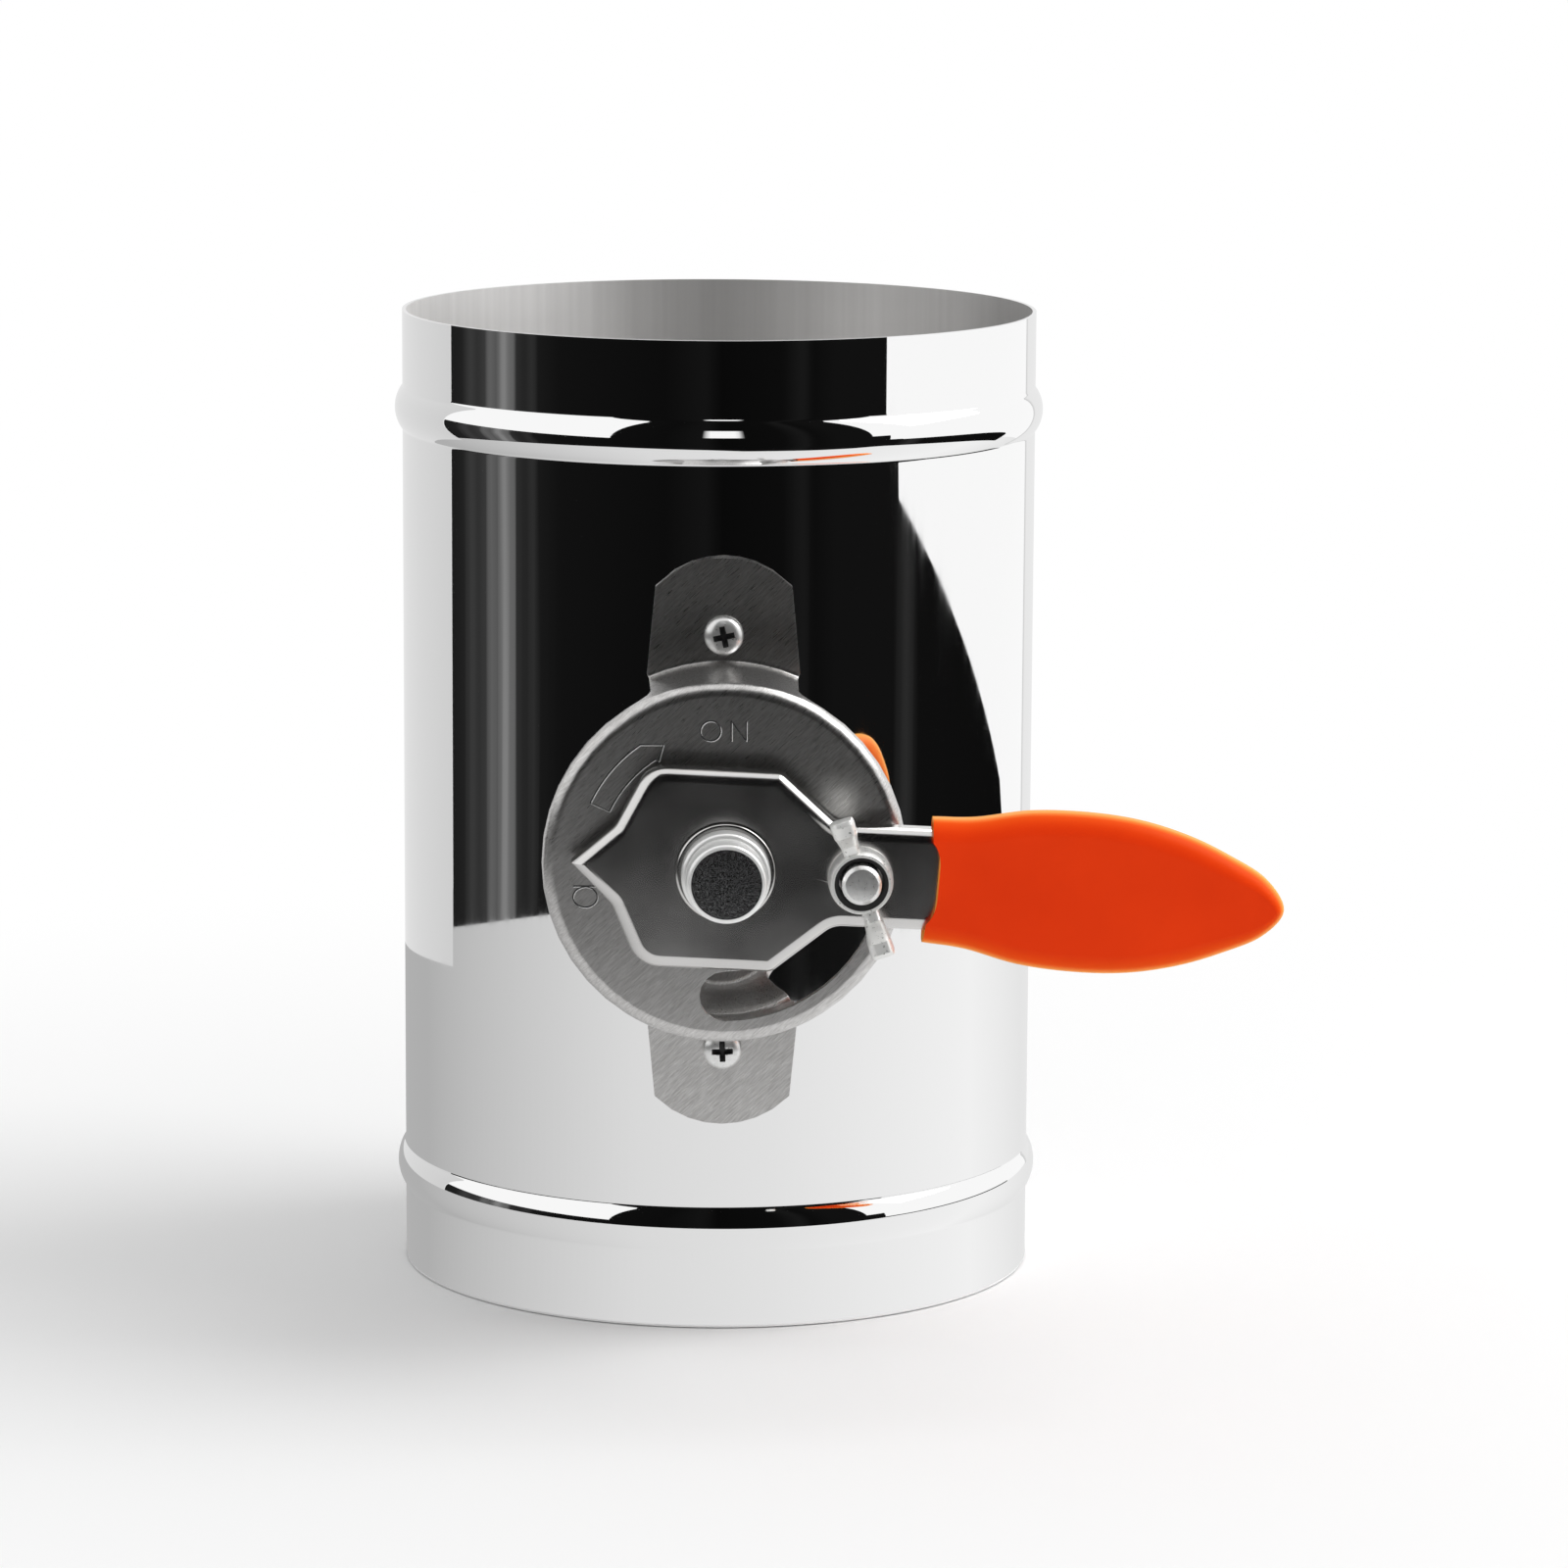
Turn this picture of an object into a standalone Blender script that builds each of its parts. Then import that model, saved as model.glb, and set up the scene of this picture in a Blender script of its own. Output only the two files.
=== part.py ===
"""Air volume damper: a short round duct with a turning blade inside, a stamped quadrant plate
outside, and a lever that a wing nut clamps at any setting between closed and open.

Metres, +Z up along the duct, -Y towards the lever. A height h is measured outwards from the
front of the duct, so it lies at y = -(DUCT_RADIUS + h)."""

import math

import bmesh
import bpy
from mathutils import Matrix, Vector

# Fits
SEAT_GAP = 0.0003
RUNNING_GAP = 0.00025

# Duct
DUCT_RADIUS = 0.0500
DUCT_LENGTH = 0.1524
DUCT_WALL = 0.0006
BEAD_INSET = 0.0154
BEAD_WIDTH = 0.0073
BEAD_HEIGHT = 0.0012

# Quadrant plate, one stamping: a dial on two risers, each with a screwed tab
PLATE_THICKNESS = 0.0012
DIAL_RADIUS = 0.0273
DIAL_STANDOFF = 0.01916
DIAL_EDGE_RADIUS = 0.0020
DIAL_FLANGE = 0.0032
RISER_WIDTH = 0.0222
RISER_DRAFT = 0.0004
RISER_FILLET = 0.0040
TAB_BEND_RADIUS = 0.0008
TAB_TIP_WIDTH = 0.0206
TAB_TIP_RADIUS = 0.0143
TAB_SCREW_MARGIN = 0.00045
TAB_END_MARGIN = 0.0118
SLOT_EDGE_MARGIN = 0.0073
SLOT_WIDTH = 0.0075
LEVER_CLOSED_DEG = 0.0
LEVER_OPEN_DEG = 90.0

# Screws that hold the plate to the duct
PLATE_SCREW_RADIUS = 0.00145
PLATE_SCREW_LENGTH = 0.0080
PLATE_SCREW_HEAD_RADIUS = 0.00295
PLATE_SCREW_HEAD_HEIGHT = 0.0020
CROSS_LENGTH = 0.0034
CROSS_WIDTH = 0.0009
CROSS_DEPTH = 0.0013

# Shaft and its bushes
SHAFT_RADIUS = 0.0059
SHAFT_CHAMFER = 0.0007
SHAFT_FRONT_REACH = 0.0100
SHAFT_SHOULDER_RADIUS = 0.0066
SHAFT_SHOULDER_LENGTH = 0.0034
SHAFT_TAIL = 0.0024
BUSH_WALL = 0.0018
BUSH_FLANGE_WIDTH = 0.0025
BUSH_FLANGE_HEIGHT = 0.0024
BUSH_INNER_REACH = 0.0030
SPACER_WALL = 0.0030
SPACER_LENGTH = 0.00404
FRONT_WASHER_RADIUS = 0.0074
FRONT_WASHER_THICKNESS = 0.0008
REAR_WASHER_RADIUS = 0.0100
REAR_WASHER_THICKNESS = 0.0010
CLIP_RADIUS = 0.0086
CLIP_THICKNESS = 0.0010
CLIP_GROOVE_DEPTH = 0.0011
CLIP_OPENING_DEG = 70.0

# Blade and the screws that hold it to the shaft
BLADE_THICKNESS = 0.0012
BLADE_EDGE_GAP = 0.0008
BLADE_NOTCH_GAP = 0.0015
BLADE_SCREW_SPACING = 0.0500
BLADE_SCREW_RADIUS = 0.0020
BLADE_SCREW_HEAD_RADIUS = 0.0038
BLADE_SCREW_HEAD_HEIGHT = 0.0024
BLADE_NUT_WIDTH = 0.0070
BLADE_NUT_HEIGHT = 0.0032
SHAFT_LOWER_FLAT = 0.0050

# Lever, a pressed sheet with a turned-back edge
LEVER_THICKNESS = 0.0012
LEVER_EDGE_RADIUS = 0.0020
LEVER_EDGE_CLEARANCE = 0.00144
LEVER_REST_DEG = 2.8
HEAD_WIDTH = 0.0301
HEAD_FRONT = 0.0076
HEAD_BACK = 0.0122
HEAD_FRONT_FILLET = 0.0022
HEAD_BACK_FILLET = 0.0050
NOSE_REACH = 0.0229
NOSE_SHOULDER_REACH = 0.0166
NOSE_SHOULDER_WIDTH = 0.0118
NOSE_SHOULDER_FILLET = 0.0025
NECK_WIDTH = 0.0152
NECK_START = 0.0164
NECK_FILLET = 0.0040

# Grip, a dipped sleeve over the lever's leaf-shaped end
GRIP_DIAL_MARGIN = 0.0027
GRIP_LENGTH = 0.0533
GRIP_WIDTH = 0.0239
GRIP_WALL = 0.00145
GRIP_EDGE_RADIUS = 0.0032
GRIP_DROOP_DEG = 2.0
GRIP_MOUTH_DEPTH = 0.0014

# Clamp: a bolt through the arc slot, with a wing nut in front of the lever
CLAMP_BOLT_RADIUS = 0.0030
CLAMP_BOLT_CHAMFER = 0.0004
CLAMP_BOLT_PROUD = 0.0012
CLAMP_HEAD_WIDTH = 0.0100
CLAMP_HEAD_HEIGHT = 0.0040
CLAMP_WASHER_THICKNESS = 0.0016
HUB_RADIUS = 0.00485
HUB_HEIGHT = 0.0044
HUB_RECESS_RADIUS = 0.0040
HUB_RECESS_DEPTH = 0.0008
WING_SPAN = 0.0214
WING_RISE = 0.0094
WING_ROOT_THICKNESS = 0.0026
WING_TIP_THICKNESS = 0.0037
WING_DEG = 20.5

# Worked out from the sizes above
PIVOT_HEIGHT = DUCT_LENGTH / 2
BORE_RADIUS = DUCT_RADIUS - DUCT_WALL
TAB_FACE = SEAT_GAP + PLATE_THICKNESS
DIAL_BACK = DIAL_STANDOFF - PLATE_THICKNESS
RISER_FOOT_RADIUS = DIAL_RADIUS + RISER_DRAFT
TAB_START = RISER_FOOT_RADIUS + TAB_BEND_RADIUS
TAB_SCREW_PITCH = 2 * (TAB_START + PLATE_SCREW_HEAD_RADIUS + TAB_SCREW_MARGIN)
TAB_REACH = TAB_SCREW_PITCH / 2 + TAB_END_MARGIN
SLOT_RADIUS = DIAL_RADIUS - SLOT_EDGE_MARGIN
LEVER_BACK = DIAL_STANDOFF + SEAT_GAP + SPACER_LENGTH + SEAT_GAP
LEVER_FACE = LEVER_BACK + LEVER_THICKNESS
LEVER_DEPTH = LEVER_FACE - DIAL_STANDOFF - LEVER_EDGE_CLEARANCE
SHAFT_HOLE_RADIUS = SHAFT_RADIUS + SEAT_GAP
SHAFT_FRONT = LEVER_FACE + SHAFT_FRONT_REACH
SHOULDER_BACK = LEVER_FACE + SEAT_GAP + FRONT_WASHER_THICKNESS + SEAT_GAP
BUSH_BORE_RADIUS = SHAFT_RADIUS + RUNNING_GAP
BUSH_RADIUS = BUSH_BORE_RADIUS + BUSH_WALL
REAR_WASHER_FACE = BUSH_FLANGE_HEIGHT + SEAT_GAP
CLIP_FACE = REAR_WASHER_FACE + REAR_WASHER_THICKNESS + SEAT_GAP
SHAFT_REAR = CLIP_FACE + CLIP_THICKNESS + SHAFT_TAIL
BLADE_RADIUS = BORE_RADIUS - BLADE_EDGE_GAP
BLADE_NOTCH_EDGE = DUCT_RADIUS - BUSH_INNER_REACH - BLADE_NOTCH_GAP
SHAFT_UPPER_FLAT = BLADE_THICKNESS / 2 + SEAT_GAP
GRIP_START = DIAL_RADIUS + GRIP_DIAL_MARGIN
GRIP_MOUTH_WIDTH = NECK_WIDTH + 2 * (GRIP_WALL + SEAT_GAP)
CLAMP_HOLE_RADIUS = CLAMP_BOLT_RADIUS + SEAT_GAP
CLAMP_WASHER_RADIUS = SLOT_EDGE_MARGIN - DIAL_EDGE_RADIUS - SEAT_GAP
CLAMP_WASHER_BACK = DIAL_BACK - SEAT_GAP - CLAMP_WASHER_THICKNESS
CLAMP_HEAD_FACE = CLAMP_WASHER_BACK - SEAT_GAP
HUB_SEAT = LEVER_FACE + SEAT_GAP
CLAMP_BOLT_END = HUB_SEAT + HUB_HEIGHT + CLAMP_BOLT_PROUD

# Facets
DUCT_STEPS = 72
BEAD_STEPS = 6
LARGE_STEPS = 36
SMALL_STEPS = 20
FILLET_STEPS = 3
WING_STEPS = 12
SMOOTH_ANGLE = math.radians(32.0)


def clear_scene():
    for old in list(bpy.data.objects):
        bpy.data.objects.remove(old, do_unlink=True)


def finish(name, color, metallic, roughness):
    """A Principled material."""
    material = bpy.data.materials.new(name)
    material.use_nodes = True
    shader = material.node_tree.nodes["Principled BSDF"]
    shader.inputs["Base Color"].default_value = (*color, 1.0)
    shader.inputs["Metallic"].default_value = metallic
    shader.inputs["Roughness"].default_value = roughness
    return material


def add_empty(name, parent, location=(0.0, 0.0, 0.0), turn_y=0.0):
    empty = bpy.data.objects.new(name, None)
    empty.empty_display_size = 0.02
    empty.parent = parent
    empty.location = location
    empty.rotation_euler = (0.0, turn_y, 0.0)
    bpy.context.collection.objects.link(empty)
    return empty


def add_object(name, shape, material, parent, location=(0.0, 0.0, 0.0)):
    """Turns a bmesh into an object with smooth curved faces and sharp edges."""
    mesh = bpy.data.meshes.new(name)
    shape.to_mesh(mesh)
    shape.free()
    mesh.shade_smooth()
    mesh.set_sharp_from_angle(angle=SMOOTH_ANGLE)
    if material:
        mesh.materials.append(material)
    made = bpy.data.objects.new(name, mesh)
    made.parent = parent
    made.location = location
    bpy.context.collection.objects.link(made)
    return made


def add_copy(source, name, parent, location, turn_z=0.0):
    """A second piece from the same mesh."""
    twin = bpy.data.objects.new(name, source.data)
    twin.parent = parent
    twin.location = location
    twin.rotation_euler = (0.0, 0.0, turn_z)
    bpy.context.collection.objects.link(twin)
    for modifier in source.modifiers:
        same = twin.modifiers.new(modifier.name, modifier.type)
        same.operation = modifier.operation
        same.object = modifier.object
    return twin


def combine(target, tool_shape, name, operation="DIFFERENCE", location=(0.0, 0.0, 0.0)):
    """Cuts a hidden tool from the target, or joins it on."""
    tool = add_object(name, tool_shape, None, target.parent, location)
    tool.hide_render = True
    tool.display_type = "WIRE"
    modifier = target.modifiers.new(name, "BOOLEAN")
    modifier.operation = operation
    modifier.solver = "EXACT"
    modifier.object = tool


def place(x, z, h):
    """A point at height h outwards from the front of the duct."""
    return Vector((x, -(DUCT_RADIUS + h), z))


def facing_front(shape, h=0.0):
    """Lays a body that was turned about +Z along -Y, with its base at height h."""
    turn = Matrix.Translation((0.0, -(DUCT_RADIUS + h), 0.0)) @ Matrix.Rotation(math.pi / 2, 4, "X")
    bmesh.ops.transform(shape, matrix=turn, verts=shape.verts)
    return shape


def revolve(profile, steps):
    """A body turned about +Z from (radius, height) points; a profile off the axis is closed."""
    shape = bmesh.new()
    points = [shape.verts.new((radius, 0.0, height)) for radius, height in profile]
    pairs = list(zip(points, points[1:]))
    if profile[0][0] > 0.0:
        pairs.append((points[-1], points[0]))
    edges = [shape.edges.new(pair) for pair in pairs]
    bmesh.ops.spin(
        shape, geom=points + edges, cent=(0, 0, 0), axis=(0, 0, 1),
        angle=2 * math.pi, steps=steps, use_merge=True,
    )
    bmesh.ops.remove_doubles(shape, verts=shape.verts, dist=1e-7)
    bmesh.ops.recalc_face_normals(shape, faces=shape.faces)
    return shape


def ring(inner, outer, low, high, steps):
    """A plain washer or sleeve about +Z."""
    return revolve([(inner, low), (outer, low), (outer, high), (inner, high)], steps)


def loft(loops, closed=False):
    """A body through equal loops of points, capped at both ends or joined into a ring."""
    shape = bmesh.new()
    rows = [[shape.verts.new(point) for point in loop] for loop in loops]
    pairs = list(zip(rows, rows[1:]))
    if closed:
        pairs.append((rows[-1], rows[0]))
    for first, second in pairs:
        for index in range(len(first)):
            following = (index + 1) % len(first)
            shape.faces.new((first[index], first[following], second[following], second[index]))
    if not closed:
        shape.faces.new(rows[0])
        shape.faces.new(rows[-1])
    bmesh.ops.recalc_face_normals(shape, faces=shape.faces)
    return shape


def prism(outline, low, high):
    """An (x, z) outline extruded between two heights."""
    return loft([[place(x, z, h) for x, z in outline] for h in (low, high)])


def circle(radius, steps, x=0.0, z=0.0, start=0.0):
    angles = [start + 2 * math.pi * index / steps for index in range(steps)]
    return [(x + radius * math.cos(angle), z + radius * math.sin(angle)) for angle in angles]


def filleted(corners):
    """Points through (x, z, radius) corners; each inner corner is rounded by its radius."""
    points = [Vector(corners[0][:2])]
    for before, corner, after in zip(corners, corners[1:], corners[2:]):
        at = Vector(corner[:2])
        back = (Vector(before[:2]) - at).normalized()
        ahead = (Vector(after[:2]) - at).normalized()
        half = back.angle(ahead) / 2
        centre = at + (back + ahead).normalized() * (corner[2] / math.sin(half))
        first = at + back * (corner[2] / math.tan(half)) - centre
        last = at + ahead * (corner[2] / math.tan(half)) - centre
        sweep = first.angle_signed(last)
        for index in range(FILLET_STEPS + 1):
            turned = Matrix.Rotation(-sweep * index / FILLET_STEPS, 2) @ first
            points.append(centre + turned)
    points.append(Vector(corners[-1][:2]))
    return points


def inset(points, distance):
    """A closed clockwise outline moved inwards, with mitred corners."""
    moved = []
    for index, point in enumerate(points):
        back = (point - points[index - 1]).normalized()
        ahead = (points[(index + 1) % len(points)] - point).normalized()
        normal = Vector((back.y + ahead.y, -(back.x + ahead.x))).normalized()
        lean = normal.dot(Vector((back.y, -back.x)))
        moved.append(point + normal * (distance / lean))
    return moved


def spline(knots, steps):
    """A smooth curve through the knots, with the same number of points between each pair."""
    padded = [2 * knots[0] - knots[1], *knots, 2 * knots[-1] - knots[-2]]
    points = []
    for a, b, c, d in zip(padded, padded[1:], padded[2:], padded[3:]):
        for index in range(steps):
            t = index / steps
            bend = (2 * a - 5 * b + 4 * c - d) * t * t + (3 * b - a - 3 * c + d) * t ** 3
            points.append(0.5 * (2 * b + (c - a) * t + bend))
    points.append(knots[-1])
    return points


def bead(offset):
    """How far a rolled bead, a round arc over BEAD_WIDTH, stands out at an offset from its crest."""
    arc_radius = ((BEAD_WIDTH / 2) ** 2 + BEAD_HEIGHT ** 2) / (2 * BEAD_HEIGHT)
    return math.sqrt(arc_radius ** 2 - offset ** 2) - (arc_radius - BEAD_HEIGHT)


def duct_profile():
    """The duct's outer wall from bottom to top, as (radius, height) points."""
    wall = [(DUCT_RADIUS, 0.0)]
    for crest in (BEAD_INSET, DUCT_LENGTH - BEAD_INSET):
        for index in range(BEAD_STEPS + 1):
            offset = BEAD_WIDTH * (index / BEAD_STEPS - 0.5)
            wall.append((DUCT_RADIUS + bead(offset), crest + offset))
    wall.append((DUCT_RADIUS, DUCT_LENGTH))
    return wall


def make_duct(material, parent):
    outer = duct_profile()
    inner = [(radius - DUCT_WALL, height) for radius, height in reversed(outer)]
    duct = add_object("duct_tube", revolve(outer + inner, DUCT_STEPS), material, parent)
    hole = BUSH_RADIUS + SEAT_GAP
    through = circle(hole, SMALL_STEPS, z=PIVOT_HEIGHT)
    reach = 2 * DUCT_RADIUS + BUSH_INNER_REACH
    combine(duct, prism(through, -reach, BUSH_INNER_REACH), "cut_shaft_holes")
    for label, side in (("top", 1), ("bottom", -1)):
        hole = circle(
            PLATE_SCREW_RADIUS + SEAT_GAP, SMALL_STEPS, z=PIVOT_HEIGHT + side * TAB_SCREW_PITCH / 2
        )
        combine(duct, prism(hole, -BORE_RADIUS, BUSH_INNER_REACH), f"cut_screw_hole_{label}")


def bush_rows():
    """Loops of a flanged bush whose flange is shaped to the round duct."""
    flange = BUSH_RADIUS + BUSH_FLANGE_WIDTH
    rows = []
    for radius, height in (
        (BUSH_BORE_RADIUS, -BUSH_INNER_REACH),
        (BUSH_BORE_RADIUS, BUSH_FLANGE_HEIGHT),
        (flange, BUSH_FLANGE_HEIGHT),
        (flange, None),
        (BUSH_RADIUS, None),
        (BUSH_RADIUS, -BUSH_INNER_REACH),
    ):
        loop = []
        for x, z in circle(radius, LARGE_STEPS):
            saddle = math.sqrt((DUCT_RADIUS + SEAT_GAP) ** 2 - x * x) - DUCT_RADIUS
            loop.append(place(x, z, saddle if height is None else height))
        rows.append(loop)
    return rows


def make_bushes(material, parent):
    pivot = (0.0, 0.0, PIVOT_HEIGHT)
    front = add_object("front_bush", loft(bush_rows(), closed=True), material, parent, pivot)
    add_copy(front, "rear_bush", parent, pivot, turn_z=math.pi)


def plate_columns():
    """Angles round the dial from the top, each with its share of the riser's width, or None."""
    edge = math.asin(RISER_WIDTH / 2 / DIAL_RADIUS)
    fillet = RISER_FILLET / DIAL_RADIUS
    riser = [(edge * share, share) for share in (-1.0, -0.75, -0.5, -0.25, 0.0, 0.25, 0.5, 0.75, 1.0)]
    side = [edge + fillet * share for share in (0.12, 0.35, 0.65, 1.0)]
    plain = math.pi - 2 * side[-1]
    plain_steps = 14
    side += [side[-1] + plain * index / plain_steps for index in range(1, plain_steps)]
    side += [math.pi - angle for angle in reversed(side[:4])]
    half = riser + [(angle, None) for angle in side]
    return half + [(angle + math.pi, share) for angle, share in half]


def plate_wall_depth(angle):
    """How far the dial's turned-back edge reaches; it flares into each riser by a fillet."""
    from_riser = abs((angle + math.pi / 2) % math.pi - math.pi / 2)
    along = DIAL_RADIUS * from_riser - DIAL_RADIUS * math.asin(RISER_WIDTH / 2 / DIAL_RADIUS)
    left = min(max(RISER_FILLET - along, 0.0), RISER_FILLET)
    return DIAL_FLANGE + RISER_FILLET - math.sqrt(RISER_FILLET ** 2 - left ** 2)


def plate_skin():
    """The plate's outer face, before it gets its thickness."""
    shape = bmesh.new()
    columns = plate_columns()
    rows = []
    for index in range(FILLET_STEPS + 1):
        turn = math.pi / 2 * index / FILLET_STEPS
        radius = DIAL_RADIUS - DIAL_EDGE_RADIUS * (1.0 - math.sin(turn))
        height = DIAL_STANDOFF - DIAL_EDGE_RADIUS * (1.0 - math.cos(turn))
        rows.append([(radius, height)] * len(columns))
    rows.append([(DIAL_RADIUS, DIAL_STANDOFF - plate_wall_depth(angle)) for angle, _ in columns])
    for turn in (0.0, math.pi / 4, math.pi / 2):
        radius = RISER_FOOT_RADIUS + TAB_BEND_RADIUS * (1.0 - math.cos(turn))
        height = TAB_FACE + TAB_BEND_RADIUS * (1.0 - math.sin(turn))
        rows.append([None if share is None else (radius, height) for _, share in columns])
    grid = []
    for row in rows:
        line = []
        for (angle, _), spot in zip(columns, row):
            if spot:
                line.append(shape.verts.new(place(spot[0] * math.sin(angle), spot[0] * math.cos(angle), spot[1])))
            else:
                line.append(None)
        grid.append(line)
    tip = []
    for angle, share in columns:
        if share is None:
            tip.append(None)
            continue
        side = math.cos(angle) / abs(math.cos(angle))
        x = share * TAB_TIP_WIDTH / 2
        z = TAB_REACH - TAB_TIP_RADIUS + math.sqrt(TAB_TIP_RADIUS ** 2 - x * x)
        tip.append(shape.verts.new(place(side * x, side * z, TAB_FACE)))
    grid.append(tip)
    for first, second in zip(grid, grid[1:]):
        for index in range(len(columns)):
            following = (index + 1) % len(columns)
            corners = (first[index], first[following], second[following], second[index])
            if None not in corners:
                shape.faces.new(corners)
    dial = shape.faces.new(grid[0])
    shape.normal_update()
    bmesh.ops.recalc_face_normals(shape, faces=shape.faces)
    if dial.normal.y > 0.0:
        bmesh.ops.reverse_faces(shape, faces=shape.faces)
    return shape


def arc_slot():
    """The slot that the clamp bolt runs along, clockwise from the closed to the open setting."""
    half = SLOT_WIDTH / 2
    points = []
    steps = 14
    for radius, first, last in ((SLOT_RADIUS + half, 0, 1), (SLOT_RADIUS - half, 1, 0)):
        for index in range(steps + 1):
            share = first + (last - first) * index / steps
            angle = -math.radians(LEVER_CLOSED_DEG + (LEVER_OPEN_DEG - LEVER_CLOSED_DEG) * share)
            points.append((radius * math.cos(angle), radius * math.sin(angle)))
        end = -math.radians(LEVER_OPEN_DEG if last else LEVER_CLOSED_DEG)
        centre = (SLOT_RADIUS * math.cos(end), SLOT_RADIUS * math.sin(end))
        for index in range(1, 8):
            round_off = end - math.pi * index / 8 if last else end + math.pi - math.pi * index / 8
            points.append((centre[0] + half * math.cos(round_off), centre[1] + half * math.sin(round_off)))
    return points


def make_plate(material, parent):
    pivot = (0.0, 0.0, PIVOT_HEIGHT)
    plate = add_object("quadrant_plate", plate_skin(), material, parent, pivot)
    wall = plate.modifiers.new("sheet", "SOLIDIFY")
    wall.thickness = PLATE_THICKNESS
    wall.offset = -1.0
    wall.use_even_offset = True
    low, high = DIAL_BACK - PLATE_THICKNESS, DIAL_STANDOFF + PLATE_THICKNESS
    hole = circle(SHAFT_HOLE_RADIUS, LARGE_STEPS)
    combine(plate, prism(hole, low, high), "cut_plate_shaft_hole", location=pivot)
    combine(plate, prism(arc_slot(), low, high), "cut_arc_slot", location=pivot)
    for label, side in (("top", 1), ("bottom", -1)):
        hole = circle(PLATE_SCREW_RADIUS + SEAT_GAP, SMALL_STEPS, z=side * TAB_SCREW_PITCH / 2)
        tool = prism(hole, -PLATE_THICKNESS, TAB_FACE + PLATE_THICKNESS)
        combine(plate, tool, f"cut_tab_hole_{label}", location=pivot)


def pan_screw(radius, length, head_radius, head_height):
    """A pan-head screw along -Z from its seat at the origin, with its head above."""
    point = min(radius, length / 2)
    dome = [
        (head_radius, 0.0),
        (head_radius, head_height * 0.45),
        (head_radius * 0.86, head_height * 0.80),
        (head_radius * 0.55, head_height),
        (0.0, head_height),
    ]
    return revolve([(0.0, -length), (radius * 0.35, -length), (radius, point - length), (radius, 0.0), *dome],
                   SMALL_STEPS)


def recess_arm(quarter, top):
    """A tapered arm of the cross recess in a screw head that faces the front."""
    loops = []
    for depth, share in ((-CROSS_DEPTH / 4, 1.1), (CROSS_DEPTH, 0.6)):
        x, z = share * CROSS_LENGTH / 2, share * CROSS_WIDTH / 2
        if quarter:
            x, z = z, x
        corners = ((-x, -z), (x, -z), (x, z), (-x, z))
        loops.append([place(*corner, top - depth) for corner in corners])
    return loft(loops)


def make_plate_screws(material, parent):
    head_seat = TAB_FACE + SEAT_GAP
    for label, side in (("top", 1), ("bottom", -1)):
        shape = pan_screw(
            PLATE_SCREW_RADIUS, PLATE_SCREW_LENGTH, PLATE_SCREW_HEAD_RADIUS, PLATE_SCREW_HEAD_HEIGHT
        )
        seat = (0.0, 0.0, PIVOT_HEIGHT + side * TAB_SCREW_PITCH / 2)
        facing_front(shape, head_seat)
        screw = add_object(f"plate_screw_{label}", shape, material, parent, seat)
        for quarter in (0, 1):
            arm = recess_arm(quarter, head_seat + PLATE_SCREW_HEAD_HEIGHT)
            combine(screw, arm, f"cut_cross_{label}_{quarter + 1}", location=seat)


def make_shaft(material, lever_axis):
    """The shaft, with a flat for the blade, a shallow flat for the nuts and a clip groove."""
    rear = -(2 * DUCT_RADIUS + SHAFT_REAR)
    groove = -(2 * DUCT_RADIUS + CLIP_FACE)
    shoulder = SHOULDER_BACK + SHAFT_SHOULDER_LENGTH
    bottom = SHAFT_RADIUS - CLIP_GROOVE_DEPTH
    profile = [
        (0.0, rear),
        (SHAFT_RADIUS - SHAFT_CHAMFER, rear),
        (SHAFT_RADIUS, rear + SHAFT_CHAMFER),
        (SHAFT_RADIUS, groove - CLIP_THICKNESS - SEAT_GAP),
        (bottom, groove - CLIP_THICKNESS - SEAT_GAP),
        (bottom, groove + SEAT_GAP),
        (SHAFT_RADIUS, groove + SEAT_GAP),
        (SHAFT_RADIUS, SHOULDER_BACK),
        (SHAFT_SHOULDER_RADIUS, SHOULDER_BACK),
        (SHAFT_SHOULDER_RADIUS, shoulder - SHAFT_SHOULDER_RADIUS + SHAFT_RADIUS),
        (SHAFT_RADIUS, shoulder),
        (SHAFT_RADIUS, SHAFT_FRONT - SHAFT_CHAMFER),
        (SHAFT_RADIUS - SHAFT_CHAMFER / 3, SHAFT_FRONT - SHAFT_CHAMFER / 3),
        (SHAFT_RADIUS - SHAFT_CHAMFER, SHAFT_FRONT),
        (0.0, SHAFT_FRONT),
    ]
    shaft = add_object("shaft", facing_front(revolve(profile, LARGE_STEPS)), material, lever_axis)
    wide = 2 * SHAFT_RADIUS
    first = DUCT_RADIUS - BLADE_NOTCH_EDGE - SEAT_GAP
    upper = [(-wide, -SHAFT_UPPER_FLAT), (wide, -SHAFT_UPPER_FLAT), (wide, wide), (-wide, wide)]
    combine(shaft, prism(upper, first - 2 * DUCT_RADIUS, -first), "cut_blade_flat")
    lower = [(-wide, -wide), (wide, -wide), (wide, -SHAFT_LOWER_FLAT), (-wide, -SHAFT_LOWER_FLAT)]
    combine(shaft, prism(lower, first - 2 * DUCT_RADIUS, -first), "cut_nut_flat")
    for label, y in blade_screw_places():
        hole = ring_cutter(BLADE_SCREW_RADIUS + SEAT_GAP, wide)
        combine(shaft, hole, f"cut_shaft_hole_{label}", location=(0.0, y, 0.0))


def ring_cutter(radius, reach):
    """A plain cylinder about +Z through the origin."""
    return revolve([(0.0, -reach), (radius, -reach), (radius, reach), (0.0, reach)], SMALL_STEPS)


def blade_screw_places():
    return (("front", -BLADE_SCREW_SPACING / 2), ("rear", BLADE_SCREW_SPACING / 2))


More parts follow.
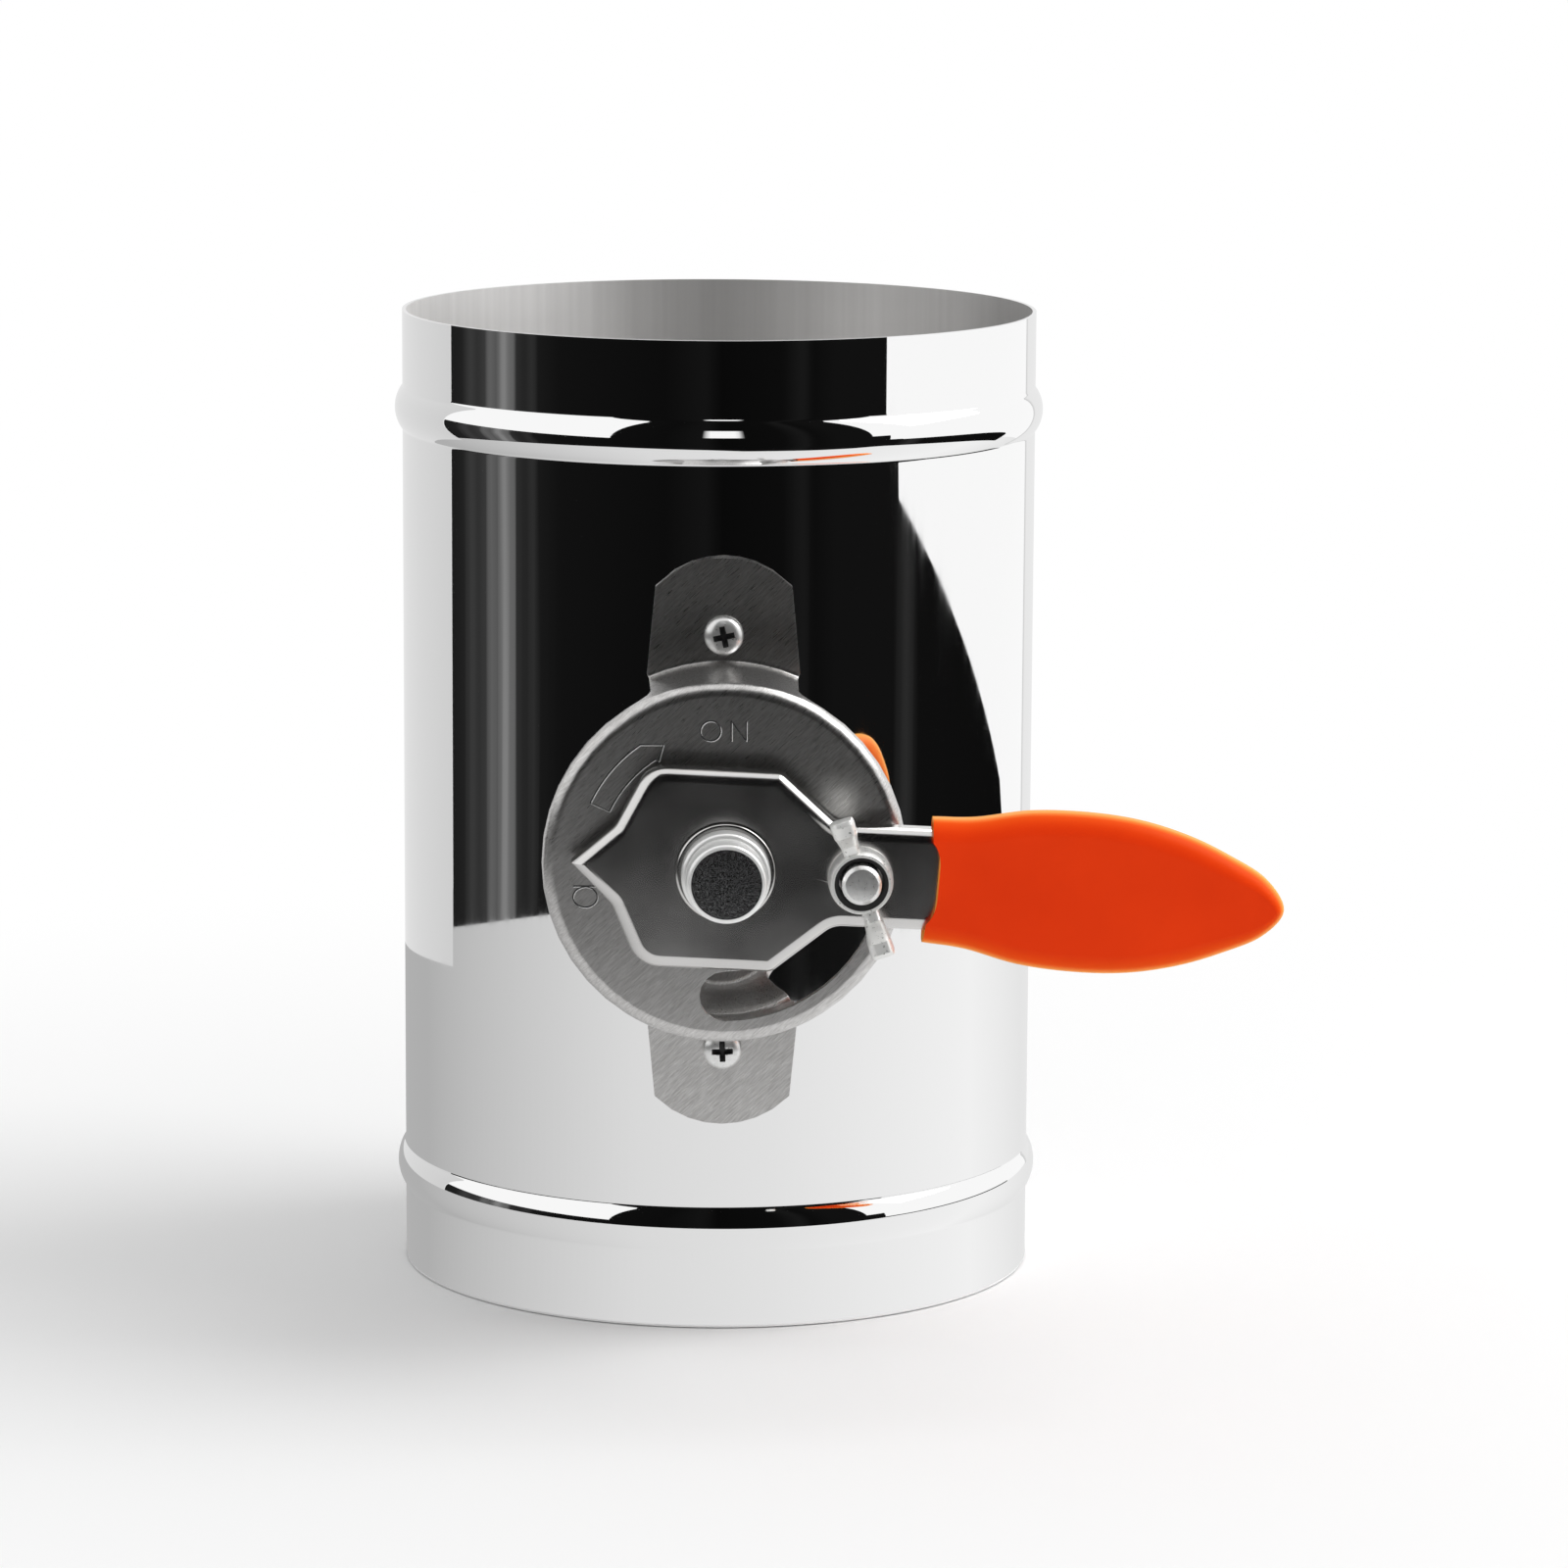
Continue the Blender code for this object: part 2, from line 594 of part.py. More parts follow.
def make_blade(material, lever_axis):
    """A disc that closes the bore, notched round the inner ends of the bushes."""
    notch = BUSH_RADIUS + BLADE_NOTCH_GAP
    edge = math.asin(notch / BLADE_RADIUS)
    steps = 22
    outline = []
    for side in (1, -1):
        for index in range(steps + 1):
            angle = edge + (math.pi - 2 * edge) * index / steps
            x, y = BLADE_RADIUS * math.sin(angle), BLADE_RADIUS * math.cos(angle)
            outline.append((side * x, side * y))
        outline.append((side * notch, -side * BLADE_NOTCH_EDGE))
        outline.append((-side * notch, -side * BLADE_NOTCH_EDGE))
    half = BLADE_THICKNESS / 2
    shape = loft([[Vector((x, y, z)) for x, y in outline] for z in (-half, half)])
    blade = add_object("damper_blade", shape, material, lever_axis)
    for label, y in blade_screw_places():
        hole = ring_cutter(BLADE_SCREW_RADIUS + SEAT_GAP, 2 * BLADE_THICKNESS)
        combine(blade, hole, f"cut_blade_hole_{label}", location=(0.0, y, 0.0))


def hexagon(width, inner, low, high):
    """A hexagon head or nut about +Z; inner is the radius of its bore, or 0 for a solid head."""
    corner = width / math.sqrt(3.0)
    outer = circle(corner, 6, start=math.pi / 6)
    if not inner:
        return loft([[Vector((x, y, z)) for x, y in outer] for z in (low, high)])
    wide = []
    for x, y in circle(inner, SMALL_STEPS):
        turn = math.atan2(y, x) % (math.pi / 3) - math.pi / 6
        reach = width / 2 / math.cos(turn) / inner
        wide.append((x * reach, y * reach))
    bore = circle(inner, SMALL_STEPS)
    rows = ((bore, low), (wide, low), (wide, high), (bore, high))
    return loft([[Vector((x, y, z)) for x, y in loop] for loop, z in rows], closed=True)


def make_blade_fasteners(material, lever_axis):
    nut_top = -SHAFT_LOWER_FLAT - SEAT_GAP
    nut_bottom = nut_top - BLADE_NUT_HEIGHT
    seat = BLADE_THICKNESS / 2 + SEAT_GAP
    for label, y in blade_screw_places():
        length = seat - nut_bottom + BLADE_SCREW_RADIUS
        screw = pan_screw(BLADE_SCREW_RADIUS, length, BLADE_SCREW_HEAD_RADIUS, BLADE_SCREW_HEAD_HEIGHT)
        add_object(f"blade_screw_{label}", screw, material, lever_axis, (0.0, y, seat))
        nut = hexagon(BLADE_NUT_WIDTH, BLADE_SCREW_RADIUS + SEAT_GAP, nut_bottom, nut_top)
        add_object(f"blade_nut_{label}", nut, material, lever_axis, (0.0, y, 0.0))


def make_shaft_hardware(steel, nylon, lever_axis):
    """The spacer and washer on each side of the lever, and the washer and clip at the rear."""
    hole = SHAFT_HOLE_RADIUS
    spacer = ring(hole, hole + SPACER_WALL, 0.0, SPACER_LENGTH, LARGE_STEPS)
    facing_front(spacer, DIAL_STANDOFF + SEAT_GAP)
    add_object("shaft_spacer", spacer, nylon, lever_axis)
    washer = ring(hole, FRONT_WASHER_RADIUS, 0.0, FRONT_WASHER_THICKNESS, LARGE_STEPS)
    facing_front(washer, LEVER_FACE + SEAT_GAP)
    add_object("shaft_washer", washer, steel, lever_axis)
    washer = ring(hole, REAR_WASHER_RADIUS, 0.0, REAR_WASHER_THICKNESS, LARGE_STEPS)
    facing_front(washer, -(2 * DUCT_RADIUS + REAR_WASHER_FACE + REAR_WASHER_THICKNESS))
    add_object("rear_washer", washer, steel, lever_axis)
    inner = SHAFT_RADIUS - CLIP_GROOVE_DEPTH + SEAT_GAP
    gap = math.radians(CLIP_OPENING_DEG)
    outline = []
    steps = 28
    for radius, first, last in ((CLIP_RADIUS, 0, 1), (inner, 1, 0)):
        for index in range(steps + 1):
            share = first + (last - first) * index / steps
            angle = -math.pi / 2 + gap / 2 + (2 * math.pi - gap) * share
            outline.append((radius * math.cos(angle), radius * math.sin(angle)))
    back = -(2 * DUCT_RADIUS + CLIP_FACE)
    add_object("rear_clip", prism(outline, back - CLIP_THICKNESS, back), steel, lever_axis)


def leaf_outline(distance):
    """The grip's outline from its mouth over the top to the tip and back below, moved inwards."""
    mouth, half = GRIP_MOUTH_WIDTH / 2, GRIP_WIDTH / 2
    rise = half - mouth
    upper = [
        (0.0, mouth),
        (0.12, mouth + 0.18 * rise),
        (0.27, mouth + 0.82 * rise),
        (0.43, half),
        (0.58, 0.955 * half),
        (0.72, 0.81 * half),
        (0.84, 0.60 * half),
        (0.945, 0.35 * half),
    ]
    knots = [Vector((share * GRIP_LENGTH, width)) for share, width in upper]
    knots += [Vector((GRIP_LENGTH, 0.0))]
    knots += [Vector((knot.x, -knot.y)) for knot in reversed(knots[:-1])]
    curve = spline(knots, FILLET_STEPS - 1)
    moved = []
    for index, point in enumerate(curve):
        along = curve[min(index + 1, len(curve) - 1)] - curve[max(index - 1, 0)]
        inward = Vector((along.y, -along.x)).normalized()
        moved.append(point + inward * distance)
    droop = Matrix.Rotation(-math.radians(GRIP_DROOP_DEG), 2)
    return [droop @ point + Vector((GRIP_START, 0.0)) for point in moved]


def lever_outline():
    """The lever's outline, clockwise from its nose over the top to the grip's end and back."""
    corners = [
        (-NOSE_REACH, 0.0, 0.0),
        (-NOSE_SHOULDER_REACH, NOSE_SHOULDER_WIDTH / 2, NOSE_SHOULDER_FILLET),
        (-HEAD_BACK, HEAD_WIDTH / 2, HEAD_BACK_FILLET),
        (HEAD_FRONT, HEAD_WIDTH / 2, HEAD_FRONT_FILLET),
        (NECK_START, NECK_WIDTH / 2, NECK_FILLET),
        (GRIP_START, NECK_WIDTH / 2, 0.0),
    ]
    upper = filleted(corners)[:-1]
    lower = [Vector((point.x, -point.y)) for point in reversed(upper[1:])]
    return upper + leaf_outline(GRIP_WALL + SEAT_GAP) + lower


def make_lever(material, lever_axis):
    outline = lever_outline()
    rows = []
    for index in range(FILLET_STEPS):
        turn = math.pi / 2 * index / (FILLET_STEPS - 1)
        rows.append((LEVER_EDGE_RADIUS * (1.0 - math.sin(turn)), LEVER_EDGE_RADIUS * (1.0 - math.cos(turn))))
    rows.append((0.0, LEVER_DEPTH))
    rows.append((LEVER_THICKNESS, LEVER_DEPTH))
    rows.append((LEVER_THICKNESS, LEVER_EDGE_RADIUS))
    rows.append((LEVER_EDGE_RADIUS, LEVER_THICKNESS))
    loops = []
    for distance, depth in rows:
        loops.append([place(point.x, point.y, LEVER_FACE - depth) for point in inset(outline, distance)])
    lever = add_object("lever_arm", loft(loops), material, lever_axis)
    low, high = LEVER_BACK - LEVER_THICKNESS / 2, LEVER_FACE + LEVER_THICKNESS
    hole = circle(SHAFT_HOLE_RADIUS, LARGE_STEPS)
    combine(lever, prism(hole, low, high), "cut_lever_shaft_hole")
    hole = circle(CLAMP_HOLE_RADIUS, SMALL_STEPS, x=SLOT_RADIUS)
    combine(lever, prism(hole, low, high), "cut_lever_bolt_hole")


def mouth_points(upper, lower):
    """Points across the grip's hollow mouth, from its lower corner to its upper one."""
    points = []
    steps = 6
    for index in range(1, steps):
        share = index / steps
        bow = GRIP_MOUTH_DEPTH * (1.0 - (2 * share - 1.0) ** 4)
        points.append(lower.lerp(upper, share) + Vector((bow, 0.0)))
    return points


def make_grip(material, lever_axis):
    middle = LEVER_FACE - LEVER_DEPTH / 2
    half = LEVER_DEPTH / 2 + SEAT_GAP + GRIP_WALL
    flat = half - GRIP_EDGE_RADIUS
    loops = []
    steps = 2 * FILLET_STEPS
    for index in range(steps + 1):
        turn = math.pi * (index / steps - 0.5)
        curve = leaf_outline(GRIP_EDGE_RADIUS * (1.0 - math.cos(turn)))
        loop = curve + mouth_points(curve[0], curve[-1])
        h = middle + math.copysign(flat, turn) + GRIP_EDGE_RADIUS * math.sin(turn)
        if index == steps // 2:
            loops.append([place(point.x, point.y, middle - flat) for point in loop])
            h = middle + flat
        loops.append([place(point.x, point.y, h) for point in loop])
    grip = add_object("lever_grip", loft(loops), material, lever_axis)
    inner = leaf_outline(GRIP_WALL)
    start = Vector((GRIP_START - GRIP_EDGE_RADIUS, 0.0))
    pocket = [start + Vector((0.0, inner[0].y)), *inner, start + Vector((0.0, inner[-1].y))]
    depth = LEVER_DEPTH + 2 * SEAT_GAP
    tool = prism([tuple(point) for point in pocket], middle - depth / 2, middle + depth / 2)
    combine(grip, tool, "cut_grip_pocket")


def make_clamp(steel, lever_axis):
    """The clamp bolt with its head behind the dial, and the washer under that head."""
    x = SLOT_RADIUS
    radius, chamfer = CLAMP_BOLT_RADIUS, CLAMP_BOLT_CHAMFER
    shank = [
        (0.0, CLAMP_HEAD_FACE - CLAMP_HEAD_HEIGHT / 2),
        (radius, CLAMP_HEAD_FACE - CLAMP_HEAD_HEIGHT / 2),
        (radius, CLAMP_BOLT_END - chamfer),
        (radius - chamfer, CLAMP_BOLT_END),
        (0.0, CLAMP_BOLT_END),
    ]
    bolt = add_object("clamp_bolt", facing_front(revolve(shank, SMALL_STEPS)), steel, lever_axis, (x, 0, 0))
    head = hexagon(CLAMP_HEAD_WIDTH, 0.0, CLAMP_HEAD_FACE - CLAMP_HEAD_HEIGHT, CLAMP_HEAD_FACE)
    combine(bolt, facing_front(head), "join_bolt_head", "UNION", (x, 0, 0))
    washer = ring(CLAMP_HOLE_RADIUS, CLAMP_WASHER_RADIUS, 0.0, CLAMP_WASHER_THICKNESS, SMALL_STEPS)
    facing_front(washer, CLAMP_WASHER_BACK)
    add_object("clamp_washer", washer, steel, lever_axis, (x, 0, 0))


def wing(turn):
    """One wing: an ear that rises and thickens outwards from the hub, with a flat front end."""
    root = HUB_RADIUS * 0.86
    tip = WING_SPAN / 2
    rows = []
    for reach, low, high, thick in (
        (0.00, 0.03, 0.42, 0.0),
        (0.26, 0.09, 0.50, 0.1),
        (0.48, 0.21, 0.80, 0.5),
        (0.62, 0.32, 0.98, 0.9),
        (0.88, 0.50, 1.00, 1.0),
        (0.97, 0.60, 0.97, 0.85),
        (1.00, 0.70, 0.90, 0.45),
    ):
        out = root + (tip - root) * reach
        middle = HUB_SEAT + WING_RISE * (low + high) / 2
        tall = WING_RISE * (high - low) / 2
        wide = (WING_ROOT_THICKNESS + (WING_TIP_THICKNESS - WING_ROOT_THICKNESS) * thick) / 2
        loop = []
        for step in range(WING_STEPS):
            angle = 2 * math.pi * step / WING_STEPS
            across = math.copysign(abs(math.cos(angle)) ** 0.6, math.cos(angle)) * wide
            up = math.copysign(abs(math.sin(angle)) ** 0.6, math.sin(angle)) * tall
            x = across * math.cos(turn) + out * math.sin(turn)
            z = out * math.cos(turn) - across * math.sin(turn)
            loop.append(place(x, z, middle + up))
        rows.append(loop)
    return loft(rows)


def make_wing_nut(material, lever_axis):
    bore = CLAMP_BOLT_RADIUS + SEAT_GAP
    profile = [
        (bore, 0.0),
        (HUB_RADIUS - 0.0002, 0.0),
        (HUB_RADIUS, 0.0003),
        (HUB_RADIUS * 0.97, HUB_HEIGHT * 0.75),
        (HUB_RADIUS * 0.90, HUB_HEIGHT),
        (HUB_RECESS_RADIUS, HUB_HEIGHT),
        (bore, HUB_HEIGHT - HUB_RECESS_DEPTH),
    ]
    hub = facing_front(revolve(profile, SMALL_STEPS), HUB_SEAT)
    axis = (SLOT_RADIUS, 0.0, 0.0)
    nut = add_object("wing_nut", hub, material, lever_axis, axis)
    for label, extra in (("upper", 0.0), ("lower", math.pi)):
        turn = extra - math.radians(WING_DEG)
        combine(nut, wing(turn), f"join_wing_{label}", "UNION", axis)


def stand_on_origin(root):
    """Moves the whole part so that the middle of its underside lies on the origin."""
    bpy.context.view_layer.update()
    graph = bpy.context.evaluated_depsgraph_get()
    corners = []
    for item in bpy.data.objects:
        if item.type != "MESH" or item.hide_render:
            continue
        seen = item.evaluated_get(graph)
        corners += [seen.matrix_world @ vertex.co for vertex in seen.data.vertices]
    low = [min(corner[axis] for corner in corners) for axis in range(3)]
    high = [max(corner[axis] for corner in corners) for axis in range(3)]
    root.location = (-(low[0] + high[0]) / 2, -(low[1] + high[1]) / 2, -low[2])


def main():
    clear_scene()
    polished = finish("polished_stainless", (0.80, 0.80, 0.80), 1.0, 0.06)
    brushed = finish("brushed_stainless", (0.55, 0.54, 0.53), 1.0, 0.32)
    pressed = finish("pressed_stainless", (0.42, 0.41, 0.40), 1.0, 0.24)
    zinc = finish("zinc_plate", (0.66, 0.66, 0.65), 1.0, 0.28)
    orange = finish("orange_pvc", (0.80, 0.05, 0.005), 0.0, 0.38)
    nylon = finish("nylon", (0.75, 0.74, 0.70), 0.0, 0.45)
    root = add_empty("damper_frame", None)
    lever_axis = add_empty(
        "lever_axis", root, (0.0, 0.0, PIVOT_HEIGHT), math.radians(LEVER_REST_DEG)
    )
    make_duct(polished, root)
    make_bushes(nylon, root)
    make_plate(brushed, root)
    make_plate_screws(zinc, root)
    make_shaft(pressed, lever_axis)
    make_blade(brushed, lever_axis)
    make_blade_fasteners(zinc, lever_axis)
    make_shaft_hardware(zinc, nylon, lever_axis)
    make_lever(pressed, lever_axis)
    make_grip(orange, lever_axis)
    make_clamp(zinc, lever_axis)
    make_wing_nut(zinc, lever_axis)
    stand_on_origin(root)


main()
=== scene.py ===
"""The looks of the air volume damper: fine meshes for what shows in front, procedural finishes for
every piece, a pale floor, soft light and a camera at the photograph's angle.

Metres. Each fine piece is made in its own frame, with the shaft's axis along Y through the origin,
and then placed by the frame. A height h is measured outwards from the front of the duct."""

import math

import bmesh
import bpy
from mathutils import Matrix, Vector


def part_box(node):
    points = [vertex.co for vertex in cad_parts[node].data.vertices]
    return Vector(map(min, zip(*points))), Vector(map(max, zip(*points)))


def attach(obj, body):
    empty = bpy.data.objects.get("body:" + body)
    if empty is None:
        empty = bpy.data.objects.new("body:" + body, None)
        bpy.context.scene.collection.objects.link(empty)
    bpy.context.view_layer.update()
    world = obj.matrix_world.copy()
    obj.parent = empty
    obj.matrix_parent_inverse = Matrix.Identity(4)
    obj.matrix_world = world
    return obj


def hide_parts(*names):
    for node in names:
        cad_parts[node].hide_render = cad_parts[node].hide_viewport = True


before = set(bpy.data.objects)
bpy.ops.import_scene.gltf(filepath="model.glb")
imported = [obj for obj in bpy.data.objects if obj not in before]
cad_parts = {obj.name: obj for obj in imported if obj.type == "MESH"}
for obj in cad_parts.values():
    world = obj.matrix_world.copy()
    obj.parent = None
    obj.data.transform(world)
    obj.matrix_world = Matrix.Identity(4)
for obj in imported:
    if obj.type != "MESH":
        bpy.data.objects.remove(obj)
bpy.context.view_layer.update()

# Gap between pieces that seat on each other
SEAT_GAP = 0.0003

# Duct
DUCT_RADIUS = 0.0500
DUCT_LENGTH = 0.1524
DUCT_WALL = 0.0006
BEAD_INSET = 0.0154
BEAD_WIDTH = 0.0073
BEAD_HEIGHT = 0.0012
BEAD_EASING = 0.0008

# Quadrant plate, one stamping: a dial on two risers, each with a screwed tab
PLATE_THICKNESS = 0.0012
DIAL_RADIUS = 0.0273
DIAL_STANDOFF = 0.01916
DIAL_EDGE_RADIUS = 0.0020
DIAL_FLANGE = 0.0032
RISER_WIDTH = 0.0222
RISER_DRAFT = 0.0004
RISER_FILLET = 0.0040
TAB_BEND_RADIUS = 0.0008
TAB_TIP_WIDTH = 0.0206
TAB_TIP_RADIUS = 0.0143
TAB_SCREW_MARGIN = 0.00045
TAB_END_MARGIN = 0.0118
SLOT_EDGE_MARGIN = 0.0073
SLOT_WIDTH = 0.0075
LEVER_CLOSED_DEG = 0.0
LEVER_OPEN_DEG = 90.0
MARK_RADIUS = 0.0202
LETTER_HEIGHT = 0.0030
GROOVE_WIDTH = 0.00022
ARROW_OUTER_RADIUS = 0.0221
ARROW_INNER_RADIUS = 0.0190
ARROW_TAIL_DEG = 155.0
ARROW_HEAD_DEG = 125.0

# Screws that hold the plate to the duct
PLATE_SCREW_RADIUS = 0.00145
PLATE_SCREW_LENGTH = 0.0080
PLATE_SCREW_HEAD_RADIUS = 0.00295
PLATE_SCREW_HEAD_HEIGHT = 0.0020
SCREW_POINT_LENGTH = 0.0022
SCREW_PITCH = 0.0006
SCREW_ROOT_SHARE = 0.8
SCREW_RIM_SHARE = 0.3
DOME_POWER = 0.75
CROSS_LENGTH = 0.0034
CROSS_WIDTH = 0.0009
CROSS_DEPTH = 0.0013

# Shaft, the spacer behind the lever and the washer in front of it
SHAFT_RADIUS = 0.0059
SHAFT_CHAMFER = 0.0007
SHAFT_FRONT_REACH = 0.0100
SHAFT_SHOULDER_RADIUS = 0.0066
SHAFT_SHOULDER_LENGTH = 0.0034
SPACER_LENGTH = 0.00404
FRONT_WASHER_RADIUS = 0.0074
FRONT_WASHER_THICKNESS = 0.0008

# Lever, a pressed sheet with a turned-back edge
LEVER_THICKNESS = 0.0012
LEVER_EDGE_RADIUS = 0.0020
LEVER_EDGE_CLEARANCE = 0.00144
LEVER_REST_DEG = 2.8
HEAD_WIDTH = 0.0301
HEAD_FRONT = 0.0076
HEAD_BACK = 0.0122
HEAD_FRONT_FILLET = 0.0022
HEAD_BACK_FILLET = 0.0050
NOSE_REACH = 0.0229
NOSE_SHOULDER_REACH = 0.0166
NOSE_SHOULDER_WIDTH = 0.0118
NOSE_SHOULDER_FILLET = 0.0025
NECK_WIDTH = 0.0152
NECK_START = 0.0164
NECK_FILLET = 0.0040

# Grip, a dipped sleeve over the lever's leaf-shaped end
GRIP_DIAL_MARGIN = 0.0027
GRIP_LENGTH = 0.0533
GRIP_WIDTH = 0.0239
GRIP_WALL = 0.00145
GRIP_EDGE_RADIUS = 0.0032
GRIP_DROOP_DEG = 2.0
GRIP_MOUTH_DEPTH = 0.0014
TIP_SHARE = 0.5
TIP_EASING_START = 0.72

# Clamp: a bolt through the arc slot, with a wing nut in front of the lever
CLAMP_BOLT_RADIUS = 0.0030
BOLT_END_EASING = 0.0006
THREAD_PITCH = 0.0010
THREAD_DEPTH = 0.00028
CLAMP_BOLT_PROUD = 0.0012
CLAMP_HEAD_WIDTH = 0.0100
CLAMP_HEAD_HEIGHT = 0.0040
CLAMP_WASHER_THICKNESS = 0.0016
HUB_RADIUS = 0.00485
HUB_HEIGHT = 0.0044
HUB_RECESS_RADIUS = 0.0040
HUB_RECESS_DEPTH = 0.0008
RECESS_START = 0.00008
WING_SPAN = 0.0214
WING_RISE = 0.0094
WING_ROOT_THICKNESS = 0.0026
WING_TIP_THICKNESS = 0.0037
WING_DEG = 20.5
WING_ROOT_SHARE = 0.86
WING_SQUARENESS = 0.6

# Widths of the rounding on sharp edges, and how far a fine piece stands outside the node under it
PLATE_SOFTNESS = 0.00018
GRIP_SOFTNESS = 0.00025
BOLT_SOFTNESS = 0.0001
NUT_SOFTNESS = 0.0002
SCREW_SOFTNESS = 0.00006
SKIN = 0.00002

# Worked out from the sizes above
TAB_FACE = SEAT_GAP + PLATE_THICKNESS
DIAL_BACK = DIAL_STANDOFF - PLATE_THICKNESS
RISER_FOOT_RADIUS = DIAL_RADIUS + RISER_DRAFT
TAB_START = RISER_FOOT_RADIUS + TAB_BEND_RADIUS
TAB_SCREW_PITCH = 2 * (TAB_START + PLATE_SCREW_HEAD_RADIUS + TAB_SCREW_MARGIN)
TAB_REACH = TAB_SCREW_PITCH / 2 + TAB_END_MARGIN
SLOT_RADIUS = DIAL_RADIUS - SLOT_EDGE_MARGIN
LEVER_BACK = DIAL_STANDOFF + SEAT_GAP + SPACER_LENGTH + SEAT_GAP
LEVER_FACE = LEVER_BACK + LEVER_THICKNESS
LEVER_DEPTH = LEVER_FACE - DIAL_STANDOFF - LEVER_EDGE_CLEARANCE
SHAFT_HOLE_RADIUS = SHAFT_RADIUS + SEAT_GAP
SHAFT_FRONT = LEVER_FACE + SHAFT_FRONT_REACH
SHOULDER_BACK = LEVER_FACE + SEAT_GAP + FRONT_WASHER_THICKNESS + SEAT_GAP
GRIP_START = DIAL_RADIUS + GRIP_DIAL_MARGIN
GRIP_MOUTH_WIDTH = NECK_WIDTH + 2 * (GRIP_WALL + SEAT_GAP)
CLAMP_HOLE_RADIUS = CLAMP_BOLT_RADIUS + SEAT_GAP
CLAMP_WASHER_BACK = DIAL_BACK - SEAT_GAP - CLAMP_WASHER_THICKNESS
CLAMP_HEAD_FACE = CLAMP_WASHER_BACK - SEAT_GAP
HUB_SEAT = LEVER_FACE + SEAT_GAP
CLAMP_BOLT_END = HUB_SEAT + HUB_HEIGHT + CLAMP_BOLT_PROUD

# Facets
DUCT_STEPS = 400
BEAD_STEPS = 18
LARGE_STEPS = 128
SMALL_STEPS = 64
FILLET_STEPS = 8
EDGE_STEPS = 10
PLAIN_EDGE_STEPS = 14
SLOT_STEPS = 14
SLOT_END_STEPS = 8
GRIP_STEPS = 28
MOUTH_STEPS = 20
WING_STEPS = 32
DOME_STEPS = 12
ARC_STEPS = 24
OVAL_STEPS = 28
SMOOTH_ANGLE = math.radians(32.0)

# Finishes
BRUSHING_DEG = -47.0

# Cards that only reflections see, and the floor under them
CARD_REACH_DEG = 180.0
CARD_STEP_DEG = 3.0
CARD_LEVEL = 0.0006
WALL_DISTANCE = 1.2
WINDOW_DISTANCE = 0.05
WINDOW_BOTTOM = 0.1486
WINDOW_TOP = 0.174
ROOM_DISTANCE = 0.25
ROOM_HEIGHT = 0.4
TABLE_NEAR = -0.002
TABLE_FAR = 0.33
FLOOR_SIZE = 24.0
FLOOR_DROP = 0.0002
FLOOR_SHADE = 0.84
WHITE_STARTS = 0.08
WHITE_FROM = 0.34

# Light and camera
WORLD_LEVEL = 0.80
KEY_PLACE = (0.80, 0.05, 0.95)
KEY_AIM = (0.0, 0.0, 0.08)
KEY_SIZE = 0.8
KEY_POWER = 8.0
CAMERA_SENSOR = 36.0
CAMERA_LENS = 141.63


def place(x, z, h):
    """A point at height h outwards from the front of the duct."""
    return Vector((x, -(DUCT_RADIUS + h), z))


def round_dial(angle, radius, h):
    """A point at height h at an angle round the dial, from its top."""
    return place(radius * math.sin(angle), radius * math.cos(angle), h)


def facing_front(shape, h=0.0):
    """Lays a body that was turned about +Z along -Y, with its base at height h."""
    turn = Matrix.Translation((0.0, -(DUCT_RADIUS + h), 0.0)) @ Matrix.Rotation(math.pi / 2, 4, "X")
    bmesh.ops.transform(shape, matrix=turn, verts=shape.verts)
    return shape


def revolve(profile, steps):
    """A body turned about +Z from (radius, height) points; a profile off the axis is closed."""
    shape = bmesh.new()
    points = [shape.verts.new((radius, 0.0, height)) for radius, height in profile]
    pairs = list(zip(points, points[1:]))
    if profile[0][0] > 0.0:
        pairs.append((points[-1], points[0]))
    edges = [shape.edges.new(pair) for pair in pairs]
    bmesh.ops.spin(
        shape, geom=points + edges, cent=(0, 0, 0), axis=(0, 0, 1),
        angle=2 * math.pi, steps=steps, use_merge=True,
    )
    bmesh.ops.remove_doubles(shape, verts=shape.verts, dist=1e-7)
    bmesh.ops.recalc_face_normals(shape, faces=shape.faces)
    return shape


def loft(loops):
    """A body through equal loops of points, capped at both ends."""
    shape = bmesh.new()
    rows = [[shape.verts.new(point) for point in loop] for loop in loops]
    for first, second in zip(rows, rows[1:]):
        for index in range(len(first)):
            following = (index + 1) % len(first)
            shape.faces.new((first[index], first[following], second[following], second[index]))
    shape.faces.new(rows[0])
    shape.faces.new(rows[-1])
    bmesh.ops.recalc_face_normals(shape, faces=shape.faces)
    return shape


def prism(outline, low, high):
    """An (x, z) outline extruded between two heights."""
    return loft([[place(x, z, h) for x, z in outline] for h in (low, high)])


def circle(radius, steps, x=0.0, z=0.0, start=0.0):
    """Points round a circle about (x, z)."""
    angles = [start + 2 * math.pi * index / steps for index in range(steps)]
    return [(x + radius * math.cos(angle), z + radius * math.sin(angle)) for angle in angles]


